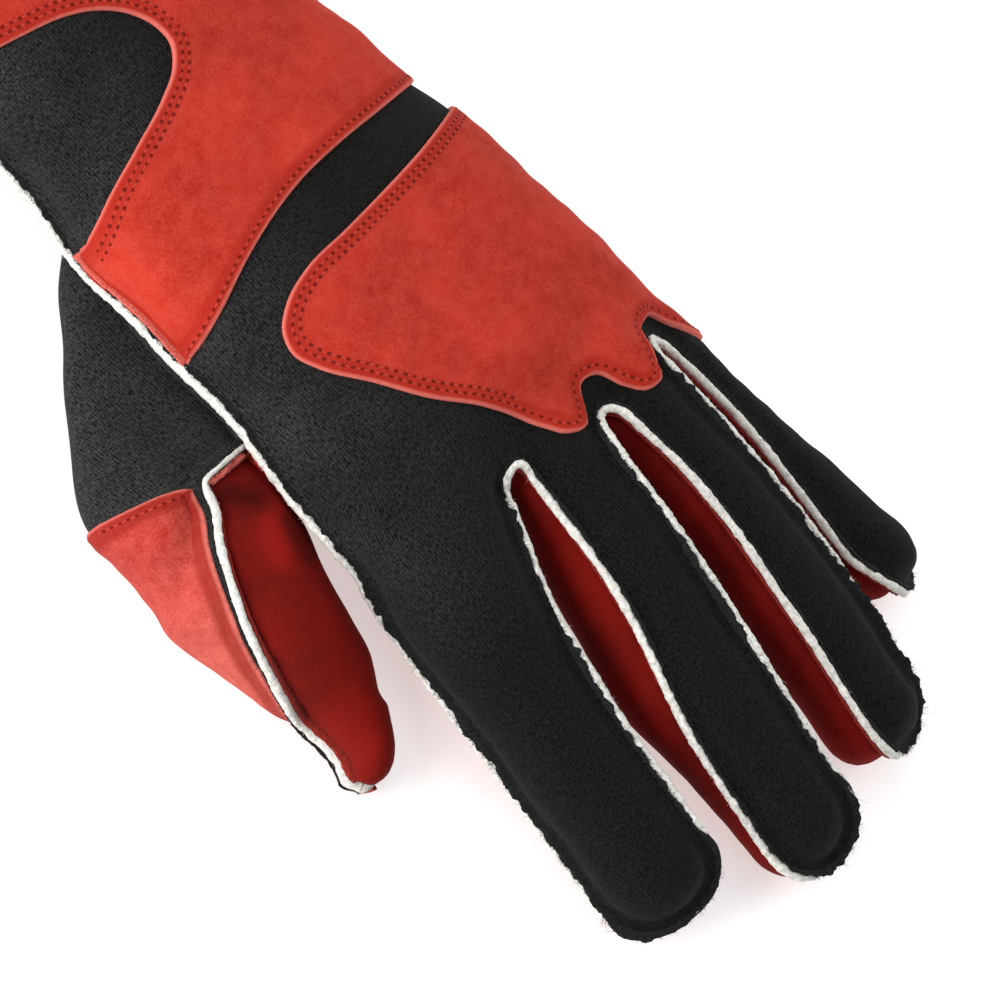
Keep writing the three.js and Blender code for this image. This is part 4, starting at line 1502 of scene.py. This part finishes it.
CAMERA_OUT = Vector((0.469, 0.0, 0.883))  # from the glove to the camera
CAMERA_RIGHT = Vector((-0.676, 0.643, 0.359))
CAMERA_UP = Vector((-0.568, -0.766, 0.302))
CAMERA_TARGET = Vector((0.6, 49.4, 20.0)) * MM
VIEW_WIDTH = 185.2 * MM  # seen at the target
LENS, SENSOR = 900.0, 36.0  # from far off, so that near parts look no larger
FLOOR_GLOW = 0.52  # of the backlit table, so that it photographs white
ROOM_LIGHT = 0.32
# Softboxes: name, place from the glove in metres, size in metres, power in watts
LAMPS = (
    ("key", (1.0, -0.55, 0.58), 0.9, 19.5),
    ("top", (0.0, -0.2, 1.4), 1.2, 6.0),
    ("side", (-1.1, 0.2, 0.5), 0.8, 7.0),
)


def stage():
    """A pale floor, soft studio lights and the camera at the photograph's angle."""
    bm = bmesh.new()
    bmesh.ops.create_grid(bm, x_segments=4, y_segments=4, size=2.5)
    floor = bpy.data.objects.new("floor", to_mesh(bm, "floor"))
    bpy.context.scene.collection.objects.link(floor)
    material, tree, shader = new_material("backlit_matt_acrylic")
    place = add_node(tree, "ShaderNodeTexCoord").outputs["Object"]
    tone = blended(tree, noise_of(tree, place, 0.05), linear("d8d8d8"), linear("dcdcdc"))
    tree.links.new(tone, shader.inputs["Base Color"])
    shader.inputs["Roughness"].default_value = 0.9
    shader.inputs["Emission Color"].default_value = (1, 1, 1, 1)
    shader.inputs["Emission Strength"].default_value = FLOOR_GLOW
    floor.data.materials.append(material)
    world = bpy.data.worlds.new("studio")
    world.use_nodes = True
    world.node_tree.nodes["Background"].inputs["Color"].default_value = (1, 1, 1, 1)
    world.node_tree.nodes["Background"].inputs["Strength"].default_value = ROOM_LIGHT
    bpy.context.scene.world = world
    bpy.context.scene.view_settings.view_transform = "Standard"
    for name, way, size, power in LAMPS:
        way = Vector(way)
        lamp = bpy.data.lights.new(name, "AREA")
        lamp.size = size
        lamp.energy = power
        holder = bpy.data.objects.new(name, lamp)
        holder.location = CAMERA_TARGET + way
        holder.rotation_euler = way.to_track_quat("Z", "Y").to_euler()
        bpy.context.scene.collection.objects.link(holder)
    camera = bpy.data.cameras.new("camera")
    camera.lens = LENS
    camera.sensor_width = SENSOR
    camera.clip_end = 20
    distance = VIEW_WIDTH * LENS / SENSOR
    holder = bpy.data.objects.new("camera", camera)
    turn = Matrix((CAMERA_RIGHT, CAMERA_UP, CAMERA_OUT)).transposed().to_4x4()
    holder.matrix_world = Matrix.Translation(CAMERA_TARGET + CAMERA_OUT * distance) @ turn
    bpy.context.scene.collection.objects.link(holder)
    bpy.context.scene.camera = holder


class GloveSizes(bpy.types.PropertyGroup):
    """Sizes of the glove's fine detail."""

    rib_pitch: bpy.props.FloatProperty(
        name="Rib pitch", description="From one rib of the knit to the next",
        default=0.00062, min=0.0002, max=0.003, subtype="DISTANCE", unit="LENGTH", precision=5,
    )
    lining_stand: bpy.props.FloatProperty(
        name="Lining stands out", description="How far the lining's raw edge stands out of a seam",
        default=0.0022, min=0.0005, max=0.005, subtype="DISTANCE", unit="LENGTH", precision=4,
    )
    lining_thickness: bpy.props.FloatProperty(
        name="Lining thickness", description="Thickness of the lining's raw edge in a seam",
        default=0.0016, min=0.0005, max=0.004, subtype="DISTANCE", unit="LENGTH", precision=4,
    )
    stitch_pitch: bpy.props.FloatProperty(
        name="Stitch pitch", description="From one needle hole to the next",
        default=0.00185, min=0.001, max=0.005, subtype="DISTANCE", unit="LENGTH", precision=5,
    )


class GloveColours(bpy.types.PropertyGroup):
    """Colours of the glove's cloths."""

    knit: bpy.props.FloatVectorProperty(
        name="Knit", description="Ridges of the black knit",
        default=linear("212120")[:3], min=0, max=1, subtype="COLOR", size=3,
    )
    # Painted light: the knit's ridges on the thumb's side of the hand, lighter as if lit by the key lamp
    lit_knit: bpy.props.FloatVectorProperty(
        name="Lit knit", description="The same ridges where the knit is rubbed lighter",
        default=linear("414242")[:3], min=0, max=1, subtype="COLOR", size=3,
    )
    suede: bpy.props.FloatVectorProperty(
        name="Suede", description="Face of the red suede",
        default=linear("b02c1e")[:3], min=0, max=1, subtype="COLOR", size=3,
    )
    # Painted shade: the same red suede made darker for the slot walls and the thumb's front
    deep_suede: bpy.props.FloatVectorProperty(
        name="Suede between fingers", description="Red suede of the slot walls and the thumb's front",
        default=linear("760f09")[:3], min=0, max=1, subtype="COLOR", size=3,
    )
    lining: bpy.props.FloatVectorProperty(
        name="Lining", description="White lining and its raw edge",
        default=linear("f4f2ec")[:3], min=0, max=1, subtype="COLOR", size=3,
    )


class GLOVE_OT_hand_panels(bpy.types.Operator):
    """Make the knit back, the suede palm and the walls between the fingers"""

    bl_idname = "glove.hand_panels"
    bl_label = "Hand panels"

    def execute(self, context):
        hand_panels()
        return {"FINISHED"}


class GLOVE_OT_thumb_panels(bpy.types.Operator):
    """Make the knit back and the suede front of the thumb"""

    bl_idname = "glove.thumb_panels"
    bl_label = "Thumb panels"

    def execute(self, context):
        thumb_panels()
        return {"FINISHED"}


class GLOVE_OT_patches(bpy.types.Operator):
    """Make the suede patches with their stitching"""

    bl_idname = "glove.patches"
    bl_label = "Suede patches"

    def execute(self, context):
        patches()
        return {"FINISHED"}


class GLOVE_OT_raw_edges(bpy.types.Operator):
    """Make the raw edges that stand in the outside seams"""

    bl_idname = "glove.raw_edges"
    bl_label = "Raw edges"

    def execute(self, context):
        raw_edges()
        return {"FINISHED"}


class GLOVE_OT_stage(bpy.types.Operator):
    """Make the floor, the lights and the camera"""

    bl_idname = "glove.stage"
    bl_label = "Stage"

    def execute(self, context):
        stage()
        return {"FINISHED"}


class GLOVE_PT_pieces(bpy.types.Panel):
    """Lists what can be built and changed"""

    bl_label = "Racing glove"
    bl_idname = "GLOVE_PT_pieces"
    bl_space_type = "VIEW_3D"
    bl_region_type = "UI"
    bl_category = "Glove"

    def draw(self, context):
        layout = self.layout
        for operator in OPERATORS:
            layout.operator(operator.bl_idname)
        for group in (context.scene.glove_sizes, context.scene.glove_colours):
            for name in group.bl_rna.properties.keys():
                if name not in ("rna_type", "name"):
                    layout.prop(group, name)


OPERATORS = (
    GLOVE_OT_hand_panels,
    GLOVE_OT_thumb_panels,
    GLOVE_OT_patches,
    GLOVE_OT_raw_edges,
    GLOVE_OT_stage,
)
CLASSES = (GloveSizes, GloveColours) + OPERATORS + (GLOVE_PT_pieces,)


def register():
    """Registers the classes and the scene's settings."""
    for cls in CLASSES:
        bpy.utils.register_class(cls)
    bpy.types.Scene.glove_sizes = bpy.props.PointerProperty(type=GloveSizes)
    bpy.types.Scene.glove_colours = bpy.props.PointerProperty(type=GloveColours)


def unregister():
    """Takes them away again."""
    del bpy.types.Scene.glove_sizes
    del bpy.types.Scene.glove_colours
    for cls in reversed(CLASSES):
        bpy.utils.unregister_class(cls)


def main():
    """Builds the glove and its stage."""
    register()
    bpy.ops.glove.hand_panels()
    bpy.ops.glove.thumb_panels()
    bpy.ops.glove.patches()
    bpy.ops.glove.raw_edges()
    bpy.ops.glove.stage()
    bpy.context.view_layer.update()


if __name__ == "__main__":
    main()
